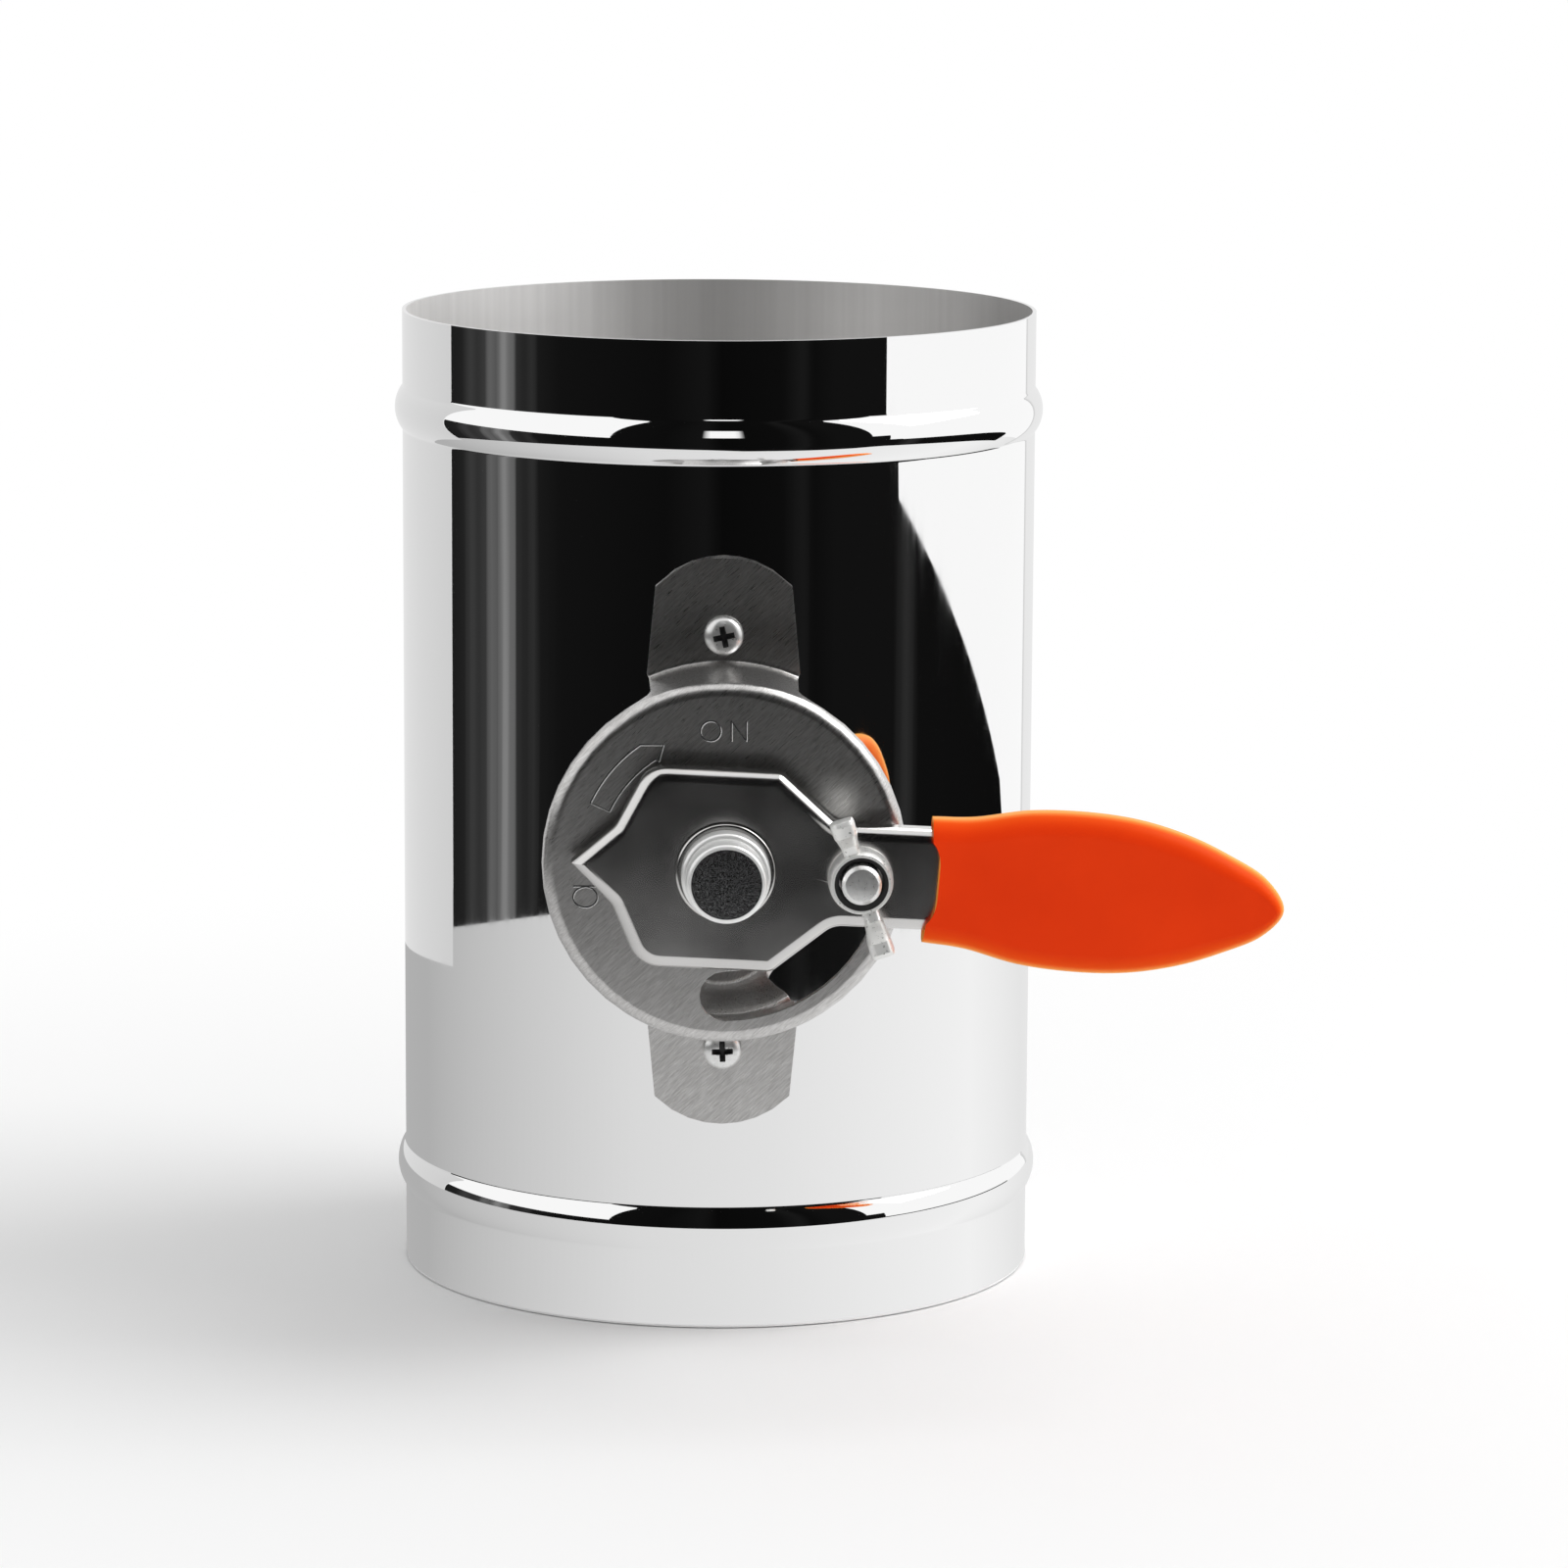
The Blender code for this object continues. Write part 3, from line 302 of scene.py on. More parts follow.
def filleted(corners):
    """Points through (x, z, radius) corners; each inner corner is rounded by its radius."""
    points = [Vector(corners[0][:2])]
    for before, corner, after in zip(corners, corners[1:], corners[2:]):
        at = Vector(corner[:2])
        back = (Vector(before[:2]) - at).normalized()
        ahead = (Vector(after[:2]) - at).normalized()
        half = back.angle(ahead) / 2
        centre = at + (back + ahead).normalized() * (corner[2] / math.sin(half))
        first = at + back * (corner[2] / math.tan(half)) - centre
        last = at + ahead * (corner[2] / math.tan(half)) - centre
        sweep = first.angle_signed(last)
        for index in range(FILLET_STEPS + 1):
            turned = Matrix.Rotation(-sweep * index / FILLET_STEPS, 2) @ first
            points.append(centre + turned)
    points.append(Vector(corners[-1][:2]))
    return points


def inset(points, distance):
    """A closed clockwise outline moved inwards, with mitred corners."""
    moved = []
    for index, point in enumerate(points):
        back = (point - points[index - 1]).normalized()
        ahead = (points[(index + 1) % len(points)] - point).normalized()
        normal = Vector((back.y + ahead.y, -(back.x + ahead.x))).normalized()
        lean = normal.dot(Vector((back.y, -back.x)))
        moved.append(point + normal * (distance / lean))
    return moved


def spline(knots, steps):
    """A smooth curve through the knots, with the same number of points between each pair."""
    padded = [2 * knots[0] - knots[1], *knots, 2 * knots[-1] - knots[-2]]
    points = []
    for a, b, c, d in zip(padded, padded[1:], padded[2:], padded[3:]):
        for index in range(steps):
            t = index / steps
            bend = (2 * a - 5 * b + 4 * c - d) * t * t + (3 * b - a - 3 * c + d) * t ** 3
            points.append(0.5 * (2 * b + (c - a) * t + bend))
    points.append(knots[-1])
    return points


def bead_half():
    """A rolled bead from its crest to where it eases into the wall, as (offset, height) points."""
    arc_radius = ((BEAD_WIDTH / 2) ** 2 + BEAD_HEIGHT ** 2) / (2 * BEAD_HEIGHT)
    lean = math.asin(BEAD_WIDTH / 2 / arc_radius)
    crest_radius = arc_radius - BEAD_EASING
    points = []
    for index in range(BEAD_STEPS + 1):
        turn = lean * index / BEAD_STEPS
        points.append((crest_radius * math.sin(turn), BEAD_HEIGHT - crest_radius * (1.0 - math.cos(turn))))
    for index in range(1, FILLET_STEPS + 1):
        turn = lean * (1.0 - index / FILLET_STEPS)
        points.append((BEAD_WIDTH / 2 - BEAD_EASING * math.sin(turn), BEAD_EASING * (1.0 - math.cos(turn))))
    return points


def duct_profile():
    """The duct's outer wall from bottom to top, as (radius, height) points."""
    half = bead_half()
    wall = [(DUCT_RADIUS, 0.0)]
    for crest in (BEAD_INSET, DUCT_LENGTH - BEAD_INSET):
        wall.append((DUCT_RADIUS, crest - BEAD_WIDTH / 2 - BEAD_EASING / 4))
        wall += [(DUCT_RADIUS + height, crest - offset) for offset, height in reversed(half)]
        wall += [(DUCT_RADIUS + height, crest + offset) for offset, height in half[1:]]
        wall.append((DUCT_RADIUS, crest + BEAD_WIDTH / 2 + BEAD_EASING / 4))
    wall.append((DUCT_RADIUS, DUCT_LENGTH))
    return wall


def plate_columns():
    """Angles round the dial from the top, each with its share of the riser's width, or None."""
    edge = math.asin(RISER_WIDTH / 2 / DIAL_RADIUS)
    fillet = RISER_FILLET / DIAL_RADIUS
    riser = [(edge * index / 4, index / 4) for index in range(-4, 5)]
    side = [edge + fillet * share for share in (0.12, 0.35, 0.65, 1.0)]
    plain = math.pi - 2 * side[-1]
    side += [side[-1] + plain * index / PLAIN_EDGE_STEPS for index in range(1, PLAIN_EDGE_STEPS)]
    side += [math.pi - angle for angle in reversed(side[:4])]
    half = riser + [(angle, None) for angle in side]
    return half + [(angle + math.pi, share) for angle, share in half]


def plate_wall_depth(angle):
    """How far the dial's turned-back edge reaches; it flares into each riser by a fillet."""
    from_riser = abs((angle + math.pi / 2) % math.pi - math.pi / 2)
    along = DIAL_RADIUS * from_riser - DIAL_RADIUS * math.asin(RISER_WIDTH / 2 / DIAL_RADIUS)
    left = min(max(RISER_FILLET - along, 0.0), RISER_FILLET)
    return DIAL_FLANGE + RISER_FILLET - math.sqrt(RISER_FILLET ** 2 - left ** 2)


def plate_rows(columns):
    """Rows of (radius, height) over the dial's rounded edge and down its risers to the tabs."""
    rows = []
    for index in range(FILLET_STEPS + 1):
        turn = math.pi / 2 * index / FILLET_STEPS
        radius = DIAL_RADIUS - DIAL_EDGE_RADIUS * (1.0 - math.sin(turn))
        height = DIAL_STANDOFF - DIAL_EDGE_RADIUS * (1.0 - math.cos(turn))
        rows.append([(radius, height)] * len(columns))
    rows.append([(DIAL_RADIUS, DIAL_STANDOFF - plate_wall_depth(angle)) for angle, _ in columns])
    for turn in (0.0, math.pi / 4, math.pi / 2):
        radius = RISER_FOOT_RADIUS + TAB_BEND_RADIUS * (1.0 - math.cos(turn))
        height = TAB_FACE + TAB_BEND_RADIUS * (1.0 - math.sin(turn))
        rows.append([None if share is None else (radius, height) for _, share in columns])
    return rows


def tab_end(angle, share):
    """The point on a tab's rounded end that a column of the plate runs to."""
    side = math.cos(angle) / abs(math.cos(angle))
    x = share * TAB_TIP_WIDTH / 2
    z = TAB_REACH - TAB_TIP_RADIUS + math.sqrt(TAB_TIP_RADIUS ** 2 - x * x)
    return place(side * x, side * z, TAB_FACE)


def plate_skin():
    """The plate's outer face, before it gets its thickness."""
    shape = bmesh.new()
    columns = plate_columns()
    grid = []
    for row in plate_rows(columns):
        points = [spot and round_dial(angle, *spot) for (angle, _), spot in zip(columns, row)]
        grid.append([point and shape.verts.new(point) for point in points])
    ends = [None if share is None else tab_end(angle, share) for angle, share in columns]
    grid.append([point and shape.verts.new(point) for point in ends])
    for first, second in zip(grid, grid[1:]):
        for index in range(len(columns)):
            following = (index + 1) % len(columns)
            corners = (first[index], first[following], second[following], second[index])
            if None not in corners:
                shape.faces.new(corners)
    dial = shape.faces.new(grid[0])
    shape.normal_update()
    bmesh.ops.recalc_face_normals(shape, faces=shape.faces)
    if dial.normal.y > 0.0:
        bmesh.ops.reverse_faces(shape, faces=shape.faces)
    return shape


def arc_slot():
    """The slot that the clamp bolt runs along, clockwise from the closed to the open setting."""
    half = SLOT_WIDTH / 2
    points = []
    for radius, first, last in ((SLOT_RADIUS + half, 0, 1), (SLOT_RADIUS - half, 1, 0)):
        for index in range(SLOT_STEPS + 1):
            share = first + (last - first) * index / SLOT_STEPS
            angle = -math.radians(LEVER_CLOSED_DEG + (LEVER_OPEN_DEG - LEVER_CLOSED_DEG) * share)
            points.append((radius * math.cos(angle), radius * math.sin(angle)))
        end = -math.radians(LEVER_OPEN_DEG if last else LEVER_CLOSED_DEG)
        centre = (SLOT_RADIUS * math.cos(end), SLOT_RADIUS * math.sin(end))
        start = end if last else end + math.pi
        for index in range(1, SLOT_END_STEPS):
            turn = start - math.pi * index / SLOT_END_STEPS
            points.append((centre[0] + half * math.cos(turn), centre[1] + half * math.sin(turn)))
    return points


def leaf_outline(distance, tip_share=1.0):
    """The grip's outline from its mouth over the top to the tip and back below, moved inwards.

    The tip is narrow, so a large inset is eased there to tip_share of the distance.
    """
    mouth, half = GRIP_MOUTH_WIDTH / 2, GRIP_WIDTH / 2
    rise = half - mouth
    upper = [
        (0.0, mouth),
        (0.12, mouth + 0.18 * rise),
        (0.27, mouth + 0.82 * rise),
        (0.43, half),
        (0.58, 0.955 * half),
        (0.72, 0.81 * half),
        (0.84, 0.60 * half),
        (0.945, 0.35 * half),
    ]
    knots = [Vector((share * GRIP_LENGTH, width)) for share, width in upper]
    knots += [Vector((GRIP_LENGTH, 0.0))]
    knots += [Vector((knot.x, -knot.y)) for knot in reversed(knots[:-1])]
    curve = spline(knots, FILLET_STEPS - 1)
    moved = []
    for index, point in enumerate(curve):
        along = curve[min(index + 1, len(curve) - 1)] - curve[max(index - 1, 0)]
        inward = Vector((along.y, -along.x)).normalized()
        near_tip = max(0.0, point.x / GRIP_LENGTH - TIP_EASING_START) / (1.0 - TIP_EASING_START)
        eased = 1.0 - (1.0 - tip_share) * near_tip ** 2
        moved.append(point + inward * distance * eased)
    droop = Matrix.Rotation(-math.radians(GRIP_DROOP_DEG), 2)
    return [droop @ point + Vector((GRIP_START, 0.0)) for point in moved]


def lever_outline():
    """The lever's outline, clockwise from its nose over the top to the grip's end and back."""
    corners = [
        (-NOSE_REACH, 0.0, 0.0),
        (-NOSE_SHOULDER_REACH, NOSE_SHOULDER_WIDTH / 2, NOSE_SHOULDER_FILLET),
        (-HEAD_BACK, HEAD_WIDTH / 2, HEAD_BACK_FILLET),
        (HEAD_FRONT, HEAD_WIDTH / 2, HEAD_FRONT_FILLET),
        (NECK_START, NECK_WIDTH / 2, NECK_FILLET),
        (GRIP_START, NECK_WIDTH / 2, 0.0),
    ]
    upper = filleted(corners)[:-1]
    lower = [Vector((point.x, -point.y)) for point in reversed(upper[1:])]
    return upper + leaf_outline(GRIP_WALL + SEAT_GAP) + lower


def mouth_points(upper, lower):
    """Points across the grip's hollow mouth, from its lower corner to its upper one."""
    points = []
    for index in range(1, MOUTH_STEPS):
        share = index / MOUTH_STEPS
        bow = GRIP_MOUTH_DEPTH * (1.0 - (2 * share - 1.0) ** 4)
        points.append(lower.lerp(upper, share) + Vector((bow, 0.0)))
    return points


def wing(turn):
    """One wing: an ear that rises and thickens outwards from the hub, with a flat front end."""
    root = HUB_RADIUS * WING_ROOT_SHARE
    tip = WING_SPAN / 2
    rows = []
    # Shares of the reach, of the rise for the lower and the upper edge, and of the thickening
    for reach, low, high, thick in (
        (0.00, 0.03, 0.42, 0.0),
        (0.26, 0.09, 0.50, 0.1),
        (0.48, 0.21, 0.80, 0.5),
        (0.62, 0.32, 0.98, 0.9),
        (0.88, 0.50, 1.00, 1.0),
        (0.97, 0.60, 0.97, 0.85),
        (1.00, 0.70, 0.90, 0.45),
    ):
        out = root + (tip - root) * reach
        middle = HUB_SEAT + WING_RISE * (low + high) / 2
        tall = WING_RISE * (high - low) / 2
        wide = (WING_ROOT_THICKNESS + (WING_TIP_THICKNESS - WING_ROOT_THICKNESS) * thick) / 2
        loop = []
        for step in range(WING_STEPS):
            angle = 2 * math.pi * step / WING_STEPS
            across = math.copysign(abs(math.cos(angle)) ** WING_SQUARENESS, math.cos(angle)) * wide
            up = math.copysign(abs(math.sin(angle)) ** WING_SQUARENESS, math.sin(angle)) * tall
            x = across * math.cos(turn) + out * math.sin(turn)
            z = out * math.cos(turn) - across * math.sin(turn)
            loop.append(place(x, z, middle + up))
        rows.append(loop)
    return loft(rows)


def hexagon_head(width, low, high):
    """A hexagon head about +Z."""
    outline = circle(width / math.sqrt(3.0), 6, start=math.pi / 6)
    return loft([[Vector((x, y, z)) for x, y in outline] for z in (low, high)])


def add_node(tree, kind, inputs, output=0, **settings):
    """Adds a shader node; an input is a value or another node's output."""
    made = tree.nodes.new(kind)
    for key, value in settings.items():
        setattr(made, key, value)
    for key, value in inputs.items():
        if isinstance(value, bpy.types.NodeSocket):
            tree.links.new(value, made.inputs[key])
        else:
            made.inputs[key].default_value = value
    return made.outputs[output]


class Finish:
    """A Principled material and the nodes that drive it. Coordinates are the piece's own frame."""

    def __init__(self, name, color, metallic, roughness):
        """A plain material, for the other methods to work on."""
        self.material = bpy.data.materials.new(name)
        self.material.use_nodes = True
        self.tree = self.material.node_tree
        self.shader = self.tree.nodes["Principled BSDF"]
        self.shader.inputs["Base Color"].default_value = (*color, 1.0)
        self.shader.inputs["Metallic"].default_value = metallic
        self.shader.inputs["Roughness"].default_value = roughness
        self.coordinates = self.tree.nodes.new("ShaderNodeTexCoord").outputs["Object"]
        self.normal = None

    def node(self, kind, inputs, output=0, **settings):
        """Adds a node to the material."""
        return add_node(self.tree, kind, inputs, output, **settings)

    def noise(self, scale, vector=None, detail=3.0, rough=0.5):
        """Noise in the piece's own coordinates, or in others."""
        inputs = {"Vector": vector or self.coordinates, "Scale": scale, "Detail": detail, "Roughness": rough}
        return self.node("ShaderNodeTexNoise", inputs)

    def grain(self, scale, turn=(0.0, 0.0, 0.0), detail=2.0):
        """Noise drawn out along one way; the turn comes before the scale."""
        turned = self.node("ShaderNodeMapping", {"Vector": self.coordinates, "Rotation": turn})
        return self.noise(1.0, self.node("ShaderNodeMapping", {"Vector": turned, "Scale": scale}), detail)

    def span(self, value, low, high, first=0.3, last=0.7):
        """Maps a noise value to a range."""
        return self.node(
            "ShaderNodeMapRange",
            {"Value": value, "From Min": first, "From Max": last, "To Min": low, "To Max": high},
        )

    def mix(self, share, first, second, kind="MIX"):
        """Mixes two colours with an alpha, or the outputs of nodes."""
        inputs = {0: share, 6: first, 7: second}
        return self.node("ShaderNodeMix", inputs, 2, data_type="RGBA", blend_type=kind)

    def blend(self, value, first, second, low=0.3, high=0.7):
        """A noise value turned into a colour between two."""
        return self.mix(self.span(value, 0.0, 1.0, low, high), (*first, 1.0), (*second, 1.0))

    def ramp(self, value, levels):
        """Greys along a value from 0 to 1; levels are (position, grey)."""
        made = self.tree.nodes.new("ShaderNodeValToRGB")
        while len(made.color_ramp.elements) < len(levels):
            made.color_ramp.elements.new(1.0)
        for element, (position, grey) in zip(made.color_ramp.elements, levels):
            element.position = position
            element.color = (grey, grey, grey, 1.0)
        self.tree.links.new(value, made.inputs[0])
        return made.outputs["Color"]

    def color(self, value):
        """Drives the colour."""
        self.tree.links.new(value, self.shader.inputs["Base Color"])

    def gloss(self, value, low, high):
        """Varies the roughness by a noise value."""
        self.tree.links.new(self.span(value, low, high), self.shader.inputs["Roughness"])

    def bump(self, height, distance, strength=1.0):
        """Adds relief on top of what was added before."""
        inputs = {"Height": height, "Distance": distance, "Strength": strength}
        if self.normal is not None:
            inputs["Normal"] = self.normal
        self.normal = self.node("ShaderNodeBump", inputs)
        self.tree.links.new(self.normal, self.shader.inputs["Normal"])


def polished_finish():
    """Mirror-polished sheet with very faint draw lines along the duct."""
    look = Finish("polished_stainless", (0.93, 0.93, 0.93), 1.0, 0.03)
    look.gloss(look.grain((900.0, 900.0, 6.0)), 0.012, 0.035)
    look.bump(look.grain((55.0, 55.0, 5.0), detail=1.0), 0.00004)
    return look.material


def dull_finish():
    """The unpolished inside of the duct, with painted light and shade in soft bands from side to side."""
    look = Finish("dull_stainless", (0.80, 0.79, 0.78), 0.6, 0.5)
    lines = look.grain((700.0, 700.0, 14.0), detail=3.0)
    split = look.node("ShaderNodeSeparateXYZ", {"Vector": look.coordinates})
    across = look.span(split, 0.0, 1.0, -DUCT_RADIUS, DUCT_RADIUS)
    # Painted light and shade: lighter towards the left, darkest about the middle and at the right edge
    painted_shading_bands = look.ramp(across, [
        (0.0, 0.94), (0.18, 0.94), (0.29, 0.90), (0.37, 0.70), (0.45, 0.58), (0.50, 0.52), (0.57, 0.55),
        (0.66, 0.60), (0.76, 0.64), (0.90, 0.58), (0.96, 0.48),
    ])
    streaks = look.blend(lines, (0.93, 0.92, 0.91), (1.0, 0.99, 0.98))
    look.color(look.mix(1.0, painted_shading_bands, streaks, "MULTIPLY"))
    look.gloss(look.noise(38.0), 0.38, 0.50)
    look.bump(lines, 0.00001, 0.5)
    return look.material


def brushed_finish():
    """Straight brushing across the plate, from lower left to upper right."""
    look = Finish("brushed_stainless", (0.62, 0.61, 0.60), 1.0, 0.30)
    lean = (0.0, math.radians(BRUSHING_DEG), 0.0)
    fine = look.grain((9000.0, 2500.0, 900.0), lean)
    broad = look.grain((4200.0, 1500.0, 380.0), lean)
    scratch = look.grain((9000.0, 2500.0, 420.0), lean, detail=1.0)
    tone = look.node("ShaderNodeMath", {0: fine, 1: broad}, operation="ADD")
    look.color(look.blend(tone, (0.50, 0.49, 0.48), (0.75, 0.74, 0.73), 0.7, 1.3))
    look.gloss(scratch, 0.27, 0.35)
    look.bump(fine, 0.000004, 0.3)
    return look.material


def pressed_finish():
    """Smooth satin sheet with faint handling marks."""
    look = Finish("pressed_stainless", (0.72, 0.71, 0.70), 1.0, 0.14)
    cloud = look.noise(90.0, detail=4.0)
    look.color(look.blend(cloud, (0.68, 0.67, 0.66), (0.74, 0.73, 0.72)))
    look.gloss(cloud, 0.17, 0.22)
    look.bump(look.grain((120.0, 900.0, 900.0)), 0.000004, 0.3)
    return look.material


def turned_finish():
    """Bar stock: a finely mottled end, and faint turning marks round the side."""
    look = Finish("turned_steel", (0.62, 0.62, 0.625), 1.0, 0.18)
    mottle = look.noise(2600.0, detail=5.0, rough=0.7)
    look.color(look.blend(mottle, (0.52, 0.52, 0.525), (0.70, 0.70, 0.705)))
    look.gloss(mottle, 0.12, 0.26)
    look.bump(look.grain((300.0, 9000.0, 300.0)), 0.000006, 0.3)
    look.bump(mottle, 0.000006, 0.4)
    return look.material


def turned_painted_light_finish():
    """The turned side of the shaft and its shoulder: a lighter, rougher copy of the turned steel, as painted
    light.
    """
    # Painted light: a paler base than the turned steel, so the side and shoulder show lighter than the end
    look = Finish("turned_steel_painted_light", (0.90, 0.90, 0.89), 0.55, 0.34)
    rings = look.grain((300.0, 7000.0, 300.0))
    look.color(look.blend(rings, (0.86, 0.86, 0.85), (0.95, 0.95, 0.94)))
    look.gloss(rings, 0.28, 0.40)
    look.bump(rings, 0.000006, 0.3)
    return look.material


def zinc_finish():
    """Bright zinc plate with a faint grain."""
    look = Finish("zinc_plate", (0.84, 0.84, 0.83), 0.85, 0.3)
    speckle = look.noise(1400.0, detail=4.0, rough=0.6)
    look.color(look.blend(speckle, (0.78, 0.78, 0.77), (0.90, 0.90, 0.89)))
    look.gloss(speckle, 0.26, 0.34)
    look.bump(speckle, 0.000004, 0.4)
    return look.material


def cast_finish():
    """Plated casting: soft lumps, and small dark spots at random."""
    look = Finish("cast_zinc", (0.82, 0.82, 0.80), 0.55, 0.36)
    lumps = look.noise(650.0, detail=2.0)
    # Small dark spots at random, with no relief of their own
    dark_spots = look.noise(2300.0, detail=2.0)
    look.color(look.blend(dark_spots, (0.30, 0.30, 0.29), (0.84, 0.84, 0.82), 0.30, 0.36))
    look.gloss(lumps, 0.28, 0.44)
    look.bump(lumps, 0.00004, 0.5)
    return look.material


def orange_finish():
    """Dipped soft plastic: satin gloss, slight ripple, and a painted sheen that makes the colour paler where
    the view grazes it.
    """
    look = Finish("orange_pvc", (0.72, 0.036, 0.003), 0.0, 0.36)
    ripple = look.noise(70.0, detail=2.0)
    tone = look.blend(ripple, (0.74, 0.034, 0.0015), (0.80, 0.040, 0.002))
    # Painted sheen: the base colour turns pale orange and then yellow-orange where the view grazes the
    # surface
    edge = look.node("ShaderNodeLayerWeight", {"Blend": 0.35}, 1)
    painted_sheen = look.mix(edge, tone, (1.0, 0.19, 0.006, 1.0))
    look.color(look.mix(look.span(edge, 0.0, 1.0, 0.28, 0.80), painted_sheen, (1.0, 0.42, 0.07, 1.0)))
    look.gloss(ripple, 0.34, 0.44)
    look.shader.inputs["Specular IOR Level"].default_value = 0.05
    look.bump(ripple, 0.00012, 0.5)
    look.bump(look.noise(2600.0, detail=2.0), 0.000008, 0.5)
    return look.material


def nylon_finish():
    """Off-white moulded nylon."""
    look = Finish("nylon", (0.74, 0.73, 0.69), 0.0, 0.45)
    look.color(look.blend(look.noise(300.0), (0.68, 0.67, 0.62), (0.79, 0.78, 0.74)))
    look.bump(look.noise(2500.0), 0.00001, 0.5)
    return look.material


def painted_shade_finish():
    """Painted shade: a near-black for the bottom of a pressed mark or a recess, where shade falls."""
    look = Finish("painted_shade_recess", (0.05, 0.05, 0.05), 0.6, 0.5)
    look.bump(look.noise(3000.0), 0.00001)
    return look.material


def painted_highlight_finish():
    """Painted highlight: a light grey for the lit edge beside a pressed mark."""
    look = Finish("painted_highlight_mark", (0.80, 0.80, 0.79), 0.15, 0.6)
    look.bump(look.noise(3000.0), 0.00001)
    return look.material


def add_object(name, data):
    """Puts a mesh, curve, light or camera into the scene."""
    made = bpy.data.objects.new(name, data)
    bpy.context.scene.collection.objects.link(made)
    return made


def mesh_from(name, shape):
    """A mesh of a finished shape, which is used up."""
    mesh = bpy.data.meshes.new(name)
    shape.to_mesh(mesh)
    shape.free()
    return mesh


def add_piece(name, shape, material, matrix, body, nodes=()):
    """A fine mesh, made in the given frame, which rides on a body and stands for CAD nodes."""
    mesh = mesh_from(name, shape)
    mesh.transform(matrix.to_3x3().to_4x4())
    mesh.shade_smooth()
    mesh.set_sharp_from_angle(angle=SMOOTH_ANGLE)
    mesh.materials.append(material)
    piece = add_object(name, mesh)
    piece.matrix_world = Matrix.Translation(matrix.translation)
    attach(piece, body)
    if nodes:
        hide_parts(*nodes)
    return piece


def combine(target, tool_shape, matrix, operation="DIFFERENCE", cut_material=None):
    """Cuts a shape from the target, or joins it on, and keeps only the result."""
    mesh = mesh_from("tool", tool_shape)
    mesh.shade_smooth()
    mesh.set_sharp_from_angle(angle=SMOOTH_ANGLE)
    tool = add_object("tool", mesh)
    tool.matrix_world = matrix
    modifier = target.modifiers.new("combine", "BOOLEAN")
    modifier.operation = operation
    modifier.object = tool
    if cut_material is not None:
        mesh.materials.append(cut_material)
        modifier.material_mode = "TRANSFER"
    settle(target)
    bpy.data.objects.remove(tool)


def flatten(target):
    """Keeps flat faces flat beside their rounded edges."""
    modifier = target.modifiers.new("flat faces", "WEIGHTED_NORMAL")
    modifier.keep_sharp = True
    modifier.weight = 90
    settle(target)


def settle(target):
    """Replaces the mesh by what its modifiers make of it."""
    bpy.context.view_layer.update()
    graph = bpy.context.evaluated_depsgraph_get()
    mesh = bpy.data.meshes.new_from_object(target.evaluated_get(graph))
    target.modifiers.clear()
    target.data = mesh


def soften(target, width, steps=2, angle=40.0):
    """Rounds the sharp edges a little, so that they catch the light."""
    modifier = target.modifiers.new("soft edges", "BEVEL")
    modifier.width = width
    modifier.segments = steps
    modifier.limit_method = "ANGLE"
    modifier.angle_limit = math.radians(angle)
    settle(target)
    target.data.set_sharp_from_angle(angle=SMOOTH_ANGLE)
    flatten(target)


# Where the pieces are made, from the place of the CAD duct
duct_low, duct_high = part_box("duct_tube")
DUCT_FRAME = Matrix.Translation(((duct_low.x + duct_high.x) / 2, (duct_low.y + duct_high.y) / 2, 0.0))
PIVOT_FRAME = DUCT_FRAME @ Matrix.Translation((0.0, 0.0, (duct_low.z + duct_high.z) / 2))
LEVER_FRAME = PIVOT_FRAME @ Matrix.Rotation(math.radians(LEVER_REST_DEG), 4, "Y")
CLAMP_FRAME = LEVER_FRAME @ Matrix.Translation((SLOT_RADIUS, 0.0, 0.0))


def make_duct(outside, inside):
    """The duct, polished outside and dull inside."""
    outer = duct_profile()
    inner = [(radius - DUCT_WALL, height) for radius, height in reversed(outer)]
    shape = revolve(outer + inner, DUCT_STEPS)
    duct = add_piece("polished_duct", shape, outside, DUCT_FRAME, "duct", ["duct_tube"])
    duct.data.materials.append(inside)
    for face in duct.data.polygons:
        if face.normal.x * face.center.x + face.normal.y * face.center.y < 0.0:
            face.material_index = 1


def make_plate(material):
    """The quadrant plate: a skin with the sheet's thickness, its holes and the arc slot."""
    plate = add_piece(
        "quadrant_sheet", plate_skin(), material, PIVOT_FRAME, "duct", ["quadrant_plate"]
    )
    wall = plate.modifiers.new("sheet", "SOLIDIFY")
    wall.thickness = PLATE_THICKNESS
    wall.offset = -1.0
    wall.use_even_offset = True
    settle(plate)
    low, high = DIAL_BACK - PLATE_THICKNESS, DIAL_STANDOFF + PLATE_THICKNESS
    combine(plate, prism(circle(SHAFT_HOLE_RADIUS, LARGE_STEPS), low, high), PIVOT_FRAME)
    combine(plate, prism(arc_slot(), low, high), PIVOT_FRAME)
    for side in (1, -1):
        hole = circle(PLATE_SCREW_RADIUS + SEAT_GAP, SMALL_STEPS, z=side * TAB_SCREW_PITCH / 2)
        combine(plate, prism(hole, -PLATE_THICKNESS, TAB_FACE + PLATE_THICKNESS), PIVOT_FRAME)
    soften(plate, PLATE_SOFTNESS)


